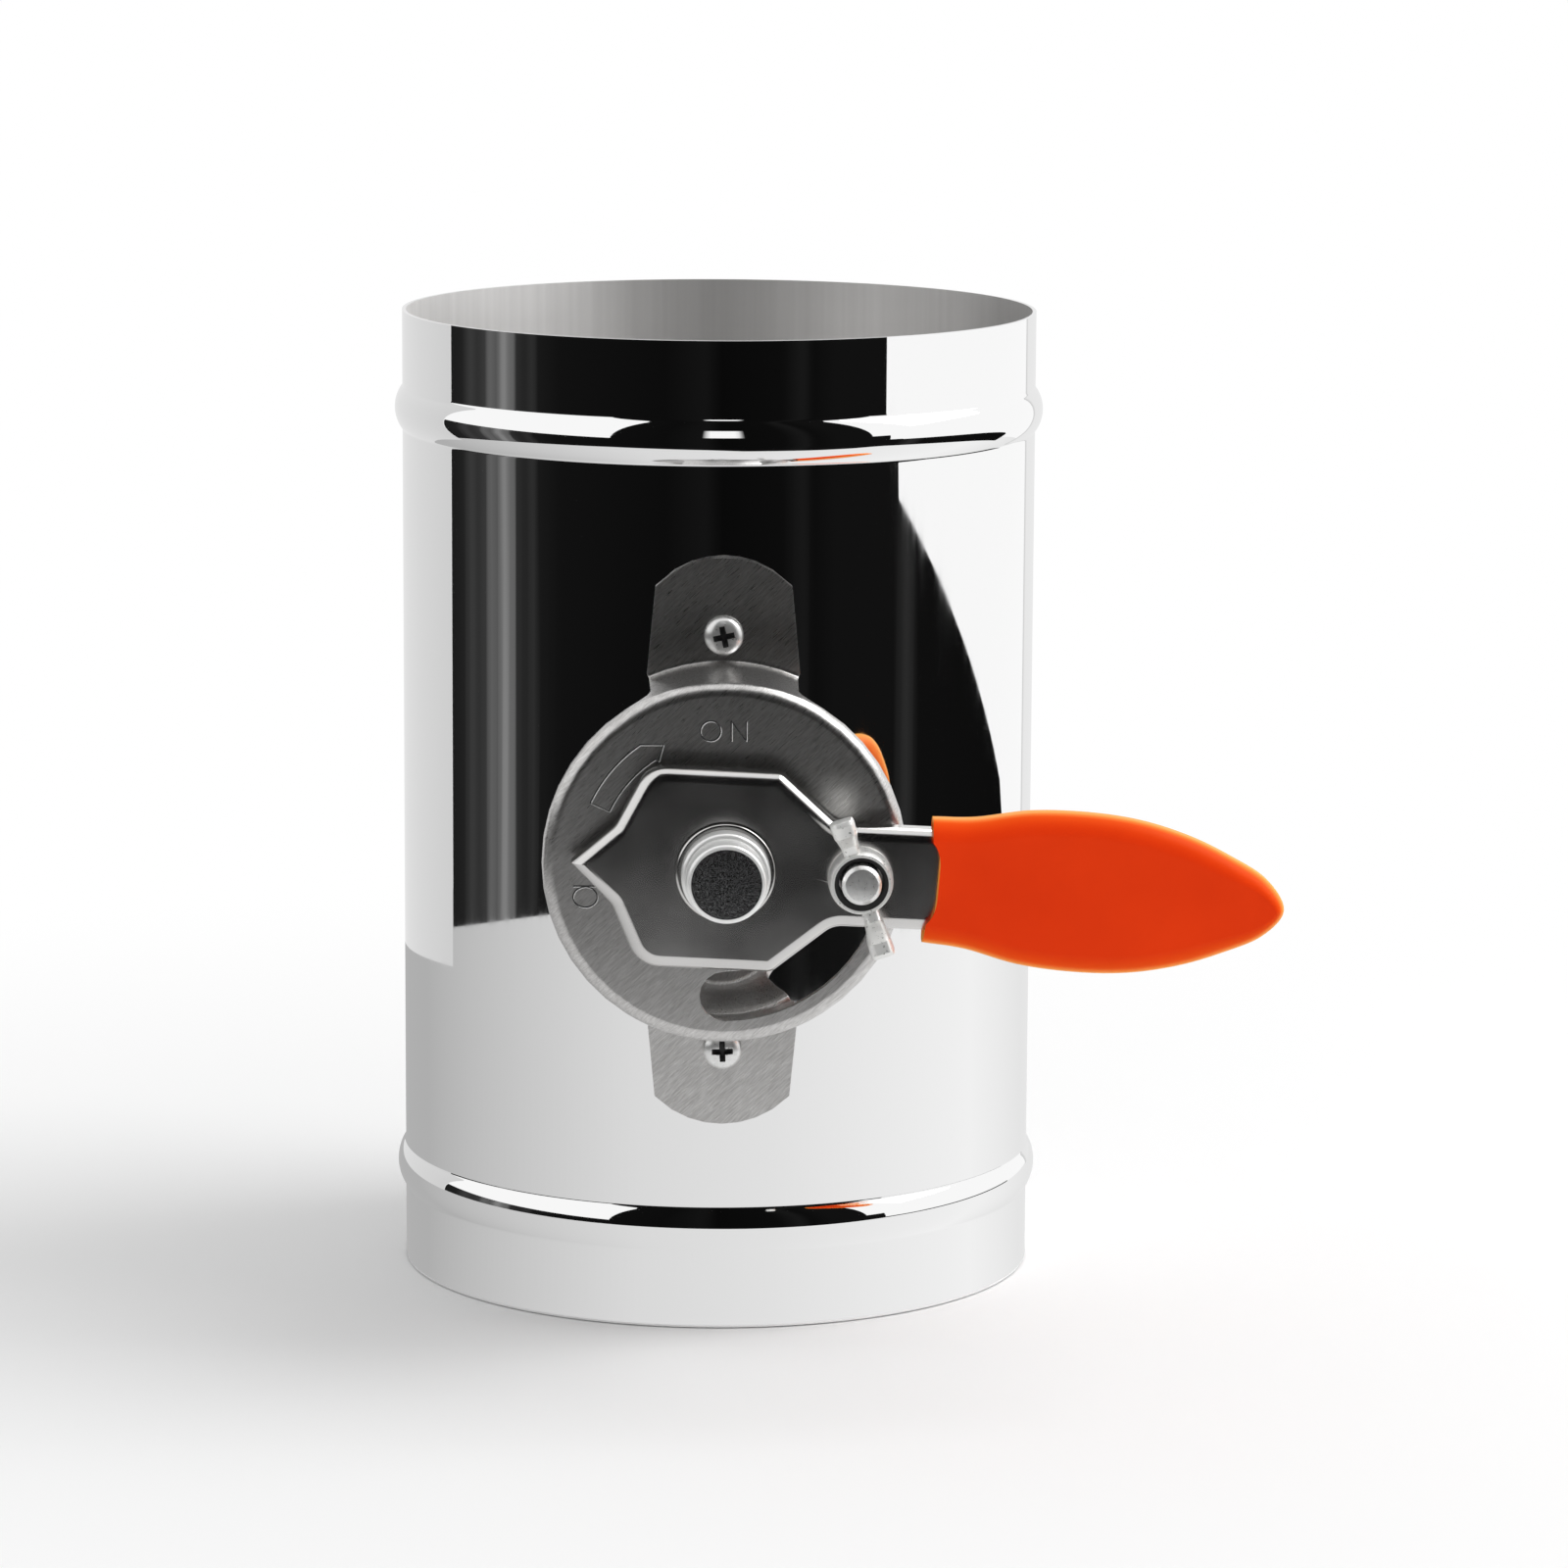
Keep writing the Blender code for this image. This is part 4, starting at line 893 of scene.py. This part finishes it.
def make_lever(material):
    """The lever's pressing: its flat face, its turned-back edge and its two holes."""
    outline = lever_outline()
    rows = []
    for index in range(EDGE_STEPS + 1):
        turn = math.pi / 2 * index / EDGE_STEPS
        rows.append((LEVER_EDGE_RADIUS * (1.0 - math.sin(turn)), LEVER_EDGE_RADIUS * (1.0 - math.cos(turn))))
    rows += [
        (0.0, LEVER_DEPTH),
        (LEVER_THICKNESS, LEVER_DEPTH),
        (LEVER_THICKNESS, LEVER_EDGE_RADIUS),
        (LEVER_EDGE_RADIUS, LEVER_THICKNESS),
    ]
    loops = []
    for distance, depth in rows:
        loops.append([place(point.x, point.y, LEVER_FACE - depth) for point in inset(outline, distance)])
    lever = add_piece(
        "lever_pressing", loft(loops), material, LEVER_FRAME, "lever", ["lever_arm"]
    )
    low, high = LEVER_BACK - LEVER_THICKNESS / 2, LEVER_FACE + LEVER_THICKNESS
    combine(lever, prism(circle(SHAFT_HOLE_RADIUS, LARGE_STEPS), low, high), LEVER_FRAME)
    combine(lever, prism(circle(CLAMP_HOLE_RADIUS, SMALL_STEPS, x=SLOT_RADIUS), low, high), LEVER_FRAME)
    flatten(lever)


def make_grip(material):
    """The grip: a leaf-shaped sleeve with a rounded edge, and a pocket for the lever."""
    middle = LEVER_FACE - LEVER_DEPTH / 2
    half = LEVER_DEPTH / 2 + SEAT_GAP + GRIP_WALL
    flat = half - GRIP_EDGE_RADIUS
    loops = []
    for index in range(GRIP_STEPS + 1):
        turn = math.pi * (index / GRIP_STEPS - 0.5)
        curve = leaf_outline(GRIP_EDGE_RADIUS * (1.0 - math.cos(turn)), TIP_SHARE)
        loop = curve + mouth_points(curve[0], curve[-1])
        h = middle + math.copysign(flat, turn) + GRIP_EDGE_RADIUS * math.sin(turn)
        if index == GRIP_STEPS // 2:
            loops.append([place(point.x, point.y, middle - flat) for point in loop])
            h = middle + flat
        loops.append([place(point.x, point.y, h) for point in loop])
    grip = add_piece("grip_sleeve", loft(loops), material, LEVER_FRAME, "lever", ["lever_grip"])
    inner = leaf_outline(GRIP_WALL)
    start = Vector((GRIP_START - GRIP_EDGE_RADIUS, 0.0))
    pocket = [start + Vector((0.0, inner[0].y)), *inner, start + Vector((0.0, inner[-1].y))]
    depth = LEVER_DEPTH + 2 * SEAT_GAP
    pocket = prism([tuple(point) for point in pocket], middle - depth / 2, middle + depth / 2)
    combine(grip, pocket, LEVER_FRAME)
    soften(grip, GRIP_SOFTNESS, 3, 60.0)


def quarter_round(radius, height, size):
    """Points over a rounded outer edge, from its side to its face, for a turned profile."""
    points = []
    for index in range(EDGE_STEPS + 1):
        turn = math.pi / 2 * index / EDGE_STEPS
        points.append((radius - size * (1.0 - math.cos(turn)), height - size * (1.0 - math.sin(turn))))
    return points


def make_shaft_end(material, bright, dark):
    """The shaft's front end with its shoulder; the rest of the shaft stays as the CAD node."""
    shoulder = SHOULDER_BACK + SHAFT_SHOULDER_LENGTH
    wide, narrow = SHAFT_SHOULDER_RADIUS + SKIN, SHAFT_RADIUS + SKIN
    profile = [(0.0, SHOULDER_BACK - SKIN), (wide, SHOULDER_BACK - SKIN)]
    profile += quarter_round(wide, shoulder + SKIN, SHAFT_SHOULDER_RADIUS - SHAFT_RADIUS)
    profile.append((0.0, shoulder + SKIN))
    collar = facing_front(revolve(profile, LARGE_STEPS))
    # The shoulder takes the lighter copy of the turned steel, which is painted light
    flatten(add_piece("shaft_shoulder", collar, bright, LEVER_FRAME, "lever"))

    profile = [(0.0, shoulder), (narrow, shoulder)]
    profile += quarter_round(narrow, SHAFT_FRONT + SKIN, SHAFT_CHAMFER)
    profile.append((0.0, SHAFT_FRONT + SKIN))
    shape = facing_front(revolve(profile, LARGE_STEPS))
    end = add_piece("shaft_end", shape, bright, LEVER_FRAME, "lever")
    end.data.materials.append(material)
    # Painted light: the side keeps the lighter copy, and only the flat end takes the turned steel
    for face in end.data.polygons:
        if abs(face.normal.y) > 0.999:
            face.material_index = 1
    flatten(end)

    profile = [(SHAFT_HOLE_RADIUS, 0.0), (FRONT_WASHER_RADIUS, 0.0)]
    profile += quarter_round(FRONT_WASHER_RADIUS, FRONT_WASHER_THICKNESS, FRONT_WASHER_THICKNESS / 2)
    profile.append((SHAFT_HOLE_RADIUS, FRONT_WASHER_THICKNESS))
    shape = facing_front(revolve(profile, LARGE_STEPS), LEVER_FACE + SEAT_GAP)
    flatten(add_piece(
        "shaft_washer_ring", shape, dark, LEVER_FRAME, "lever", ["shaft_washer"]
    ))


def make_clamp_bolt(material):
    """The clamp bolt: a threaded shank with an eased end, and its hexagon head."""
    radius, start = CLAMP_BOLT_RADIUS, CLAMP_HEAD_FACE - CLAMP_HEAD_HEIGHT / 2
    shank = [(0.0, start), (radius, start)]
    height = LEVER_BACK
    while height < CLAMP_BOLT_END - BOLT_END_EASING - THREAD_PITCH:
        shank += [(radius, height), (radius - THREAD_DEPTH, height + THREAD_PITCH / 2)]
        height += THREAD_PITCH
    shank += [(radius, CLAMP_BOLT_END - BOLT_END_EASING), (radius - BOLT_END_EASING, CLAMP_BOLT_END)]
    shank.append((0.0, CLAMP_BOLT_END))
    shape = facing_front(revolve(shank, SMALL_STEPS))
    bolt = add_piece(
        "threaded_clamp_bolt", shape, material, CLAMP_FRAME, "lever", ["clamp_bolt"]
    )
    head = hexagon_head(CLAMP_HEAD_WIDTH, CLAMP_HEAD_FACE - CLAMP_HEAD_HEIGHT, CLAMP_HEAD_FACE)
    combine(bolt, facing_front(head), CLAMP_FRAME, "UNION")
    soften(bolt, BOLT_SOFTNESS, 2, 35.0)


def make_wing_nut(material, painted_shade_material):
    """The wing nut: a waisted hub with painted shade in the recess round the bolt, and two wings."""
    bore = CLAMP_BOLT_RADIUS + SEAT_GAP
    profile = [
        (bore, 0.0),
        (HUB_RADIUS - 0.0002, 0.0),
        (HUB_RADIUS, 0.0003),
        (HUB_RADIUS * 0.985, HUB_HEIGHT * 0.6),
        (HUB_RADIUS * 0.95, HUB_HEIGHT * 0.85),
        (HUB_RADIUS * 0.90, HUB_HEIGHT),
        (HUB_RECESS_RADIUS, HUB_HEIGHT),
        (bore, HUB_HEIGHT - HUB_RECESS_DEPTH),
    ]
    hub = facing_front(revolve(profile, SMALL_STEPS), HUB_SEAT)
    nut = add_piece("wing_nut_casting", hub, material, CLAMP_FRAME, "wing_nut", ["wing_nut"])
    for half_turn in (0.0, math.pi):
        combine(nut, wing(half_turn - math.radians(WING_DEG)), CLAMP_FRAME, "UNION")
    soften(nut, NUT_SOFTNESS, 3, 30.0)
    # Painted shade: the recess faces round the bolt get the near-black material
    nut.data.materials.append(painted_shade_material)
    rim = DUCT_RADIUS + HUB_SEAT + HUB_HEIGHT - RECESS_START
    for face in nut.data.polygons:
        if math.hypot(face.center.x, face.center.z) < HUB_RECESS_RADIUS and -face.center.y < rim:
            face.material_index = 1


def recess_arm(turn, top):
    """One tapered arm of a cross recess in a screw head that faces the front."""
    half_length, half_width = CROSS_LENGTH / 2, CROSS_WIDTH / 2
    loops = []
    for depth, share in ((-0.0004, 1.15), (0.0, 1.0), (CROSS_DEPTH, 0.55)):
        loop = []
        for along, across in ((-1, -1), (1, -1), (1, 1), (-1, 1)):
            x, z = along * half_length * share, across * half_width * share
            spot = (x * math.cos(turn) - z * math.sin(turn), x * math.sin(turn) + z * math.cos(turn))
            loop.append(place(*spot, top - depth))
        loops.append(loop)
    return loft(loops)


def plate_screw_profile():
    """A pan-head screw with its thread, as (radius, height) points from its point to its top."""
    radius, height = PLATE_SCREW_HEAD_RADIUS, PLATE_SCREW_HEAD_HEIGHT
    level = SCREW_POINT_LENGTH - PLATE_SCREW_LENGTH
    profile = [(0.0, -PLATE_SCREW_LENGTH), (PLATE_SCREW_RADIUS, level)]
    while level < -2 * SCREW_PITCH:
        profile.append((PLATE_SCREW_RADIUS * SCREW_ROOT_SHARE, level + SCREW_PITCH / 2))
        profile.append((PLATE_SCREW_RADIUS, level + SCREW_PITCH))
        level += SCREW_PITCH
    rim = height * SCREW_RIM_SHARE
    profile += [(PLATE_SCREW_RADIUS, 0.0), (radius - 0.0001, 0.0), (radius, 0.0001), (radius, rim)]
    for index in range(1, DOME_STEPS):
        turn = math.pi / 2 * index / DOME_STEPS
        profile.append((radius * math.cos(turn) ** DOME_POWER, rim + (height - rim) * math.sin(turn)))
    return profile + [(0.0, height)]


def make_plate_screws(material, painted_shade_material):
    """The two screws of the plate, each with its cross recess turned its own way."""
    seat_height = TAB_FACE + SEAT_GAP
    for label, side, turned in (("top", 1, 12.0), ("bottom", -1, 2.0)):
        shape = facing_front(revolve(plate_screw_profile(), SMALL_STEPS), seat_height)
        seat = PIVOT_FRAME @ Matrix.Translation((0.0, 0.0, side * TAB_SCREW_PITCH / 2))
        screw = add_piece(
            f"cross_screw_{label}", shape, material, seat, "duct", [f"plate_screw_{label}"]
        )
        for quarter in (0.0, 90.0):
            arm = recess_arm(math.radians(turned + quarter), seat_height + PLATE_SCREW_HEAD_HEIGHT)
            # Painted shade: the faces that the cross recess cuts get the near-black material
            combine(screw, arm, seat, cut_material=painted_shade_material)
        soften(screw, SCREW_SOFTNESS, 2, 35.0)


def add_mark(name, material, closed, points, thickness, shift=(0.0, 0.0)):
    """A fine line on the dial's face, through (x, z) points from the pivot, that paints the shade or the
    highlight of a pressed mark.
    """
    curve = bpy.data.curves.new(name, "CURVE")
    curve.dimensions = "3D"
    curve.bevel_depth = thickness
    curve.bevel_resolution = 2
    curve.use_fill_caps = True
    line = curve.splines.new("POLY")
    line.points.add(len(points) - 1)
    line.use_cyclic_u = closed
    for point, (x, z) in zip(line.points, points):
        point.co = (*place(x + shift[0], z + shift[1], DIAL_STANDOFF), 1.0)
    mark = add_object(name, curve)
    mark.matrix_world = PIVOT_FRAME
    curve.materials.append(material)
    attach(mark, "duct")


def arc_points(radius, start, end):
    """Points along an arc about the pivot; degrees anticlockwise from +X."""
    turns = [math.radians(start + (end - start) * index / ARC_STEPS) for index in range(ARC_STEPS + 1)]
    return [(radius * math.cos(turn), radius * math.sin(turn)) for turn in turns]


def oval(x, z, width, height):
    """Points round an oval about (x, z)."""
    return [(x + across * width / 2, z + up * height / 2) for across, up in circle(1.0, OVAL_STEPS)]


def make_marks(bright, dark):
    """ON at the top, the start of OFF beside the lever's nose, and the arrow between them. Each is a dark
    line of painted shade with a thinner light line of painted highlight beside it.
    """
    left, right = 0.0009, 0.0031
    low, high = MARK_RADIUS - LETTER_HEIGHT / 2, MARK_RADIUS + LETTER_HEIGHT / 2
    head = [(-0.0122, 0.0181), (-0.0092, 0.0181), (-0.0099, 0.0156)]
    outer = arc_points(ARROW_OUTER_RADIUS, ARROW_TAIL_DEG, ARROW_HEAD_DEG)
    inner = arc_points(ARROW_INNER_RADIUS, ARROW_HEAD_DEG - 2.0, ARROW_TAIL_DEG)
    marks = {
        "on_letter_o": (True, oval(-0.0022, MARK_RADIUS, 0.0030, LETTER_HEIGHT)),
        "on_letter_n_left": (False, [(left, low), (left, high)]),
        "on_letter_n_slant": (False, [(left, high), (right, low)]),
        "on_letter_n_right": (False, [(right, low), (right, high)]),
        "off_letter_o": (True, oval(-0.0208, -0.0049, 0.0036, 0.0031)),
        "off_line": (False, [(-0.0226, -0.00325), (-0.0182, -0.00325)]),
        "arrow_side": (True, outer + head + inner),
    }
    # The painted highlight line sits a little right of and below the painted shade line
    beside = (GROOVE_WIDTH * 0.5, -GROOVE_WIDTH * 0.6)
    for name, (closed, points) in marks.items():
        add_mark(f"{name}_groove", dark, closed, points, GROOVE_WIDTH / 2)
        add_mark(f"{name}_edge", bright, closed, points, GROOVE_WIDTH * 0.32, beside)


def dress_cad_nodes(finishes):
    """Gives each CAD node that still shows its finish."""
    shown = {
        "turned_steel": ["shaft"],
        "brushed_stainless": ["damper_blade"],
        "zinc_plate": [
            "blade_screw_front", "blade_screw_rear", "blade_nut_front", "blade_nut_rear", "rear_washer",
            "rear_clip", "clamp_washer",
        ],
        "nylon": ["front_bush", "rear_bush", "shaft_spacer"],
    }
    for name, nodes in shown.items():
        for node in nodes:
            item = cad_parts[node]
            item.data.materials.clear()
            item.data.materials.append(finishes[name])
            item.data.shade_smooth()
            item.data.set_sharp_from_angle(angle=SMOOTH_ANGLE)


def card_material(name, levels):
    """A card whose level changes sideways; levels are (glance in degrees, brightness)."""
    look = Finish(name, (0.0, 0.0, 0.0), 0.0, 1.0)
    look.shader.inputs["Specular IOR Level"].default_value = 0.0
    look.shader.inputs["Emission Strength"].default_value = 1.0
    glance = look.node("ShaderNodeAttribute", {}, 2, attribute_name="glance")
    share = look.span(glance, 0.0, 1.0, -CARD_REACH_DEG, CARD_REACH_DEG)
    stops = [((angle + CARD_REACH_DEG) / (2 * CARD_REACH_DEG), level) for angle, level in levels]
    look.tree.links.new(look.ramp(share, stops), look.shader.inputs["Emission Color"])
    return look.material


def card_point(glance, distance, height):
    """A point at a distance from the duct's wall, on the line that a front view sees mirrored there."""
    turn = math.radians(glance)
    x = DUCT_RADIUS * math.sin(turn / 2) + distance * math.sin(turn)
    y = -DUCT_RADIUS * math.cos(turn / 2) - distance * math.cos(turn)
    return (x, y, height)


def add_card(name, rows, material, straight=False):
    """A card that only reflections see; rows are (glance, near distance and height, far ones)."""
    shape = bmesh.new()
    layer = shape.verts.layers.float.new("glance")
    line = []
    for before, after in zip(rows, rows[1:]):
        steps = 1 if straight else max(1, math.ceil((after[0] - before[0]) / CARD_STEP_DEG))
        for index in range(steps + 1):
            mixed = [a + (b - a) * index / steps for a, b in zip(before, after)]
            pair = []
            for distance, height in (mixed[1:3], mixed[3:5]):
                vertex = shape.verts.new(card_point(mixed[0], distance, height))
                vertex[layer] = mixed[0]
                pair.append(vertex)
            line.append(pair)
    for (a, b), (c, d) in zip(line, line[1:]):
        shape.faces.new((a, c, d, b))
    mesh = mesh_from(name, shape)
    mesh.materials.append(material)
    card = add_object(name, mesh)
    card.matrix_world = DUCT_FRAME
    for ray in ("camera", "diffuse", "transmission", "volume_scatter", "shadow"):
        setattr(card, f"visible_{ray}", False)


def shown_rays(tree):
    """1 for a ray from the camera or from a mirror or glass, and 0 for light itself."""
    path = tree.nodes.new("ShaderNodeLightPath")
    seen = path.outputs["Is Camera Ray"]
    for other in ("Is Glossy Ray", "Is Transmission Ray"):
        seen = add_node(tree, "ShaderNodeMath", {0: seen, 1: path.outputs[other]}, operation="MAXIMUM")
    return seen


def make_floor():
    """A pale floor that keeps the shadow, and shows white away from the part."""
    side = FLOOR_SIZE / 2
    mesh = bpy.data.meshes.new("floor")
    mesh.from_pydata(
        [(-side, -side, 0.0), (side, -side, 0.0), (side, side, 0.0), (-side, side, 0.0)], [], [(0, 1, 2, 3)]
    )
    floor = add_object("floor", mesh)
    floor.location.z = -FLOOR_DROP
    look = Finish("pale_floor", (FLOOR_SHADE, FLOOR_SHADE, FLOOR_SHADE), 0.0, 0.9)
    look.shader.inputs["Specular IOR Level"].default_value = 0.0
    away = look.node("ShaderNodeVectorMath", {0: look.coordinates}, 1, operation="LENGTH")
    fade = look.node(
        "ShaderNodeMapRange", {"Value": away, "From Min": WHITE_STARTS, "From Max": WHITE_FROM},
        interpolation_type="SMOOTHSTEP",
    )
    share = look.node("ShaderNodeMath", {0: fade, 1: shown_rays(look.tree)}, operation="MULTIPLY")
    white = look.node("ShaderNodeEmission", {})
    mixed = look.node("ShaderNodeMixShader", {0: share, 1: look.shader.outputs[0], 2: white})
    look.tree.links.new(mixed, look.tree.nodes["Material Output"].inputs["Surface"])
    mesh.materials.append(look.material)


def make_world():
    """Even light from all round, which shows as white."""
    world = bpy.data.worlds.new("studio")
    bpy.context.scene.world = world
    world.use_nodes = True
    tree = world.node_tree
    background = tree.nodes["Background"]
    background.inputs["Color"].default_value = (1.0, 1.0, 1.0, 1.0)
    levels = {"Value": shown_rays(tree), "To Min": WORLD_LEVEL, "To Max": 1.0}
    tree.links.new(add_node(tree, "ShaderNodeMapRange", levels), background.inputs["Strength"])


def standing(left, right, distance, bottom, top):
    """The ends of a card that stands at one distance, from one glance to another."""
    return [(glance, distance, bottom, distance, top) for glance in (left, right)]


def make_dark_cards():
    """The dark room that the front of the duct mirrors: the far part of a table, and a wall."""
    dark = card_material("dark_card", [
        (-114.0, 0.012), (-107.0, 0.016), (-102.0, 0.045), (-98.0, 0.030), (-93.5, 0.045), (-92.5, 0.13),
        (-88.0, 0.09), (-85.0, 0.25), (-82.0, 0.12), (-80.5, 0.17), (-79.5, 0.03), (-75.0, 0.018),
        (-71.0, 0.030), (-69.0, 0.010), (-60.0, 0.006), (-20.0, 0.004), (-6.0, 0.007), (0.0, 0.003),
        (22.0, 0.004), (29.0, 0.010), (33.0, 0.004), (41.0, 0.006), (65.0, 0.006), (71.0, 0.026),
        (76.0, 0.005), (128.0, 0.004),
    ])
    edge = WALL_DISTANCE
    table = [
        (-114.0, 0.288, edge), (-61.4, 0.318, edge), (-40.0, 0.318, edge), (-5.0, 0.268, edge),
        (8.0, 0.232, edge), (32.0, 0.236, edge), (38.0, 0.242, edge), (44.0, 0.252, edge),
        (49.6, 0.264, edge), (54.0, 0.282, edge), (57.5, 0.296, edge), (61.4, 0.306, edge),
        (61.6, 0.306, 1.190), (66.6, 0.306, 1.120), (67.0, 0.306, 0.985), (77.2, 0.303, 0.885),
        (94.8, 0.290, 0.720), (109.9, 0.280, 0.590), (125.0, 0.268, 0.460), (127.1, 0.268, 0.413),
    ]
    add_card("dark_table", [(glance, near, CARD_LEVEL, far, CARD_LEVEL) for glance, near, far in table], dark)
    wall = [(-114.0, 0.239), (-39.2, 0.239), (-38.4, 2.75), (53.6, 2.75), (54.4, 0.239), (61.4, 0.239)]
    add_card("dark_wall", [(glance, WALL_DISTANCE, 0.0, WALL_DISTANCE, top) for glance, top in wall], dark)


def make_pale_cards():
    """The window on the upper bead, the pale room at the sides and behind, and the near table."""
    white = card_material("bright_card", [(-7.0, 0.0), (-4.8, 1.0), (5.2, 1.0), (7.4, 0.0)])
    add_card("small_window", standing(-7.0, 7.4, WINDOW_DISTANCE, WINDOW_BOTTOM, WINDOW_TOP), white)
    room = (ROOM_DISTANCE, 0.0, ROOM_HEIGHT)
    left = card_material("left_card", [(-180.0, 0.84), (-158.0, 0.76), (-114.5, 0.66)])
    add_card("left_back_card", standing(-180.0, -114.2, *room), left)
    right = card_material("right_card", [(147.6, 0.62), (148.6, 0.66), (150.0, 0.84), (180.0, 0.84)])
    add_card("right_back_card", standing(147.6, 180.0, *room), right)
    behind = card_material("behind_card", [(-180.0, 0.84), (180.0, 0.84)])
    add_card("behind_card", standing(-180.0, 180.0, *room), behind, straight=True)
    table = card_material("table_card", [
        (-180.0, 0.45), (-135.0, 0.45), (-73.0, 0.62), (-31.0, 0.74), (16.0, 0.80), (56.0, 0.87),
        (105.0, 0.94), (150.0, 0.82), (180.0, 0.80),
    ])
    height = CARD_LEVEL / 2
    ends = [(glance, TABLE_NEAR, height, TABLE_FAR, height) for glance in (-180.0, 180.0)]
    add_card("near_table", ends, table)
    behind_table = card_material("behind_table", [(-180.0, 0.45), (180.0, 0.80)])
    add_card("behind_table", ends, behind_table, straight=True)


def make_key_light():
    """A soft square light from the upper right."""
    light = bpy.data.lights.new("key", "AREA")
    light.shape = "RECTANGLE"
    light.size = light.size_y = KEY_SIZE
    light.energy = KEY_POWER
    lamp = add_object("key", light)
    lamp.location = KEY_PLACE
    lamp.rotation_euler = (Vector(KEY_AIM) - Vector(KEY_PLACE)).to_track_quat("-Z", "Y").to_euler()


def make_camera():
    """The photograph's camera, fitted to the duct's rims, its beads, the screws and the dial."""
    seen_from = Vector((-0.01591, -0.97146, 0.24754))
    looks_along = Vector((0.02689, 0.98445, -0.17361))
    roll = math.radians(0.327)
    camera = bpy.data.cameras.new("camera")
    camera.sensor_width = CAMERA_SENSOR
    camera.lens = CAMERA_LENS
    camera.clip_start = 0.01
    item = add_object("camera", camera)
    right = looks_along.cross(Vector((0.0, 0.0, 1.0))).normalized()
    up = right.cross(looks_along).normalized()
    turned_right = right * math.cos(roll) + up * math.sin(roll)
    turned_up = up * math.cos(roll) - right * math.sin(roll)
    rotation = Matrix((turned_right, turned_up, -looks_along.normalized())).transposed().to_4x4()
    item.matrix_world = DUCT_FRAME @ Matrix.Translation(seen_from) @ rotation
    bpy.context.scene.camera = item


def main():
    """Builds the stage and the pieces, and dresses the rest."""
    bpy.context.scene.view_settings.view_transform = "Standard"
    finishes = {
        "polished_stainless": polished_finish(),
        "dull_stainless": dull_finish(),
        "brushed_stainless": brushed_finish(),
        "pressed_stainless": pressed_finish(),
        "turned_steel": turned_finish(),
        "zinc_plate": zinc_finish(),
        "cast_zinc": cast_finish(),
        "orange_pvc": orange_finish(),
        "nylon": nylon_finish(),
        "turned_steel_painted_light": turned_painted_light_finish(),
        "painted_shade_recess": painted_shade_finish(),
        "painted_highlight_mark": painted_highlight_finish(),
    }
    make_camera()
    make_floor()
    make_world()
    make_dark_cards()
    make_pale_cards()
    make_key_light()
    make_duct(finishes["polished_stainless"], finishes["dull_stainless"])
    make_plate(finishes["brushed_stainless"])
    make_marks(finishes["painted_highlight_mark"], finishes["painted_shade_recess"])
    make_plate_screws(finishes["zinc_plate"], finishes["painted_shade_recess"])
    make_lever(finishes["pressed_stainless"])
    make_grip(finishes["orange_pvc"])
    make_shaft_end(finishes["turned_steel"], finishes["turned_steel_painted_light"], finishes["pressed_stainless"])
    make_clamp_bolt(finishes["zinc_plate"])
    make_wing_nut(finishes["cast_zinc"], finishes["painted_shade_recess"])
    dress_cad_nodes(finishes)


main()
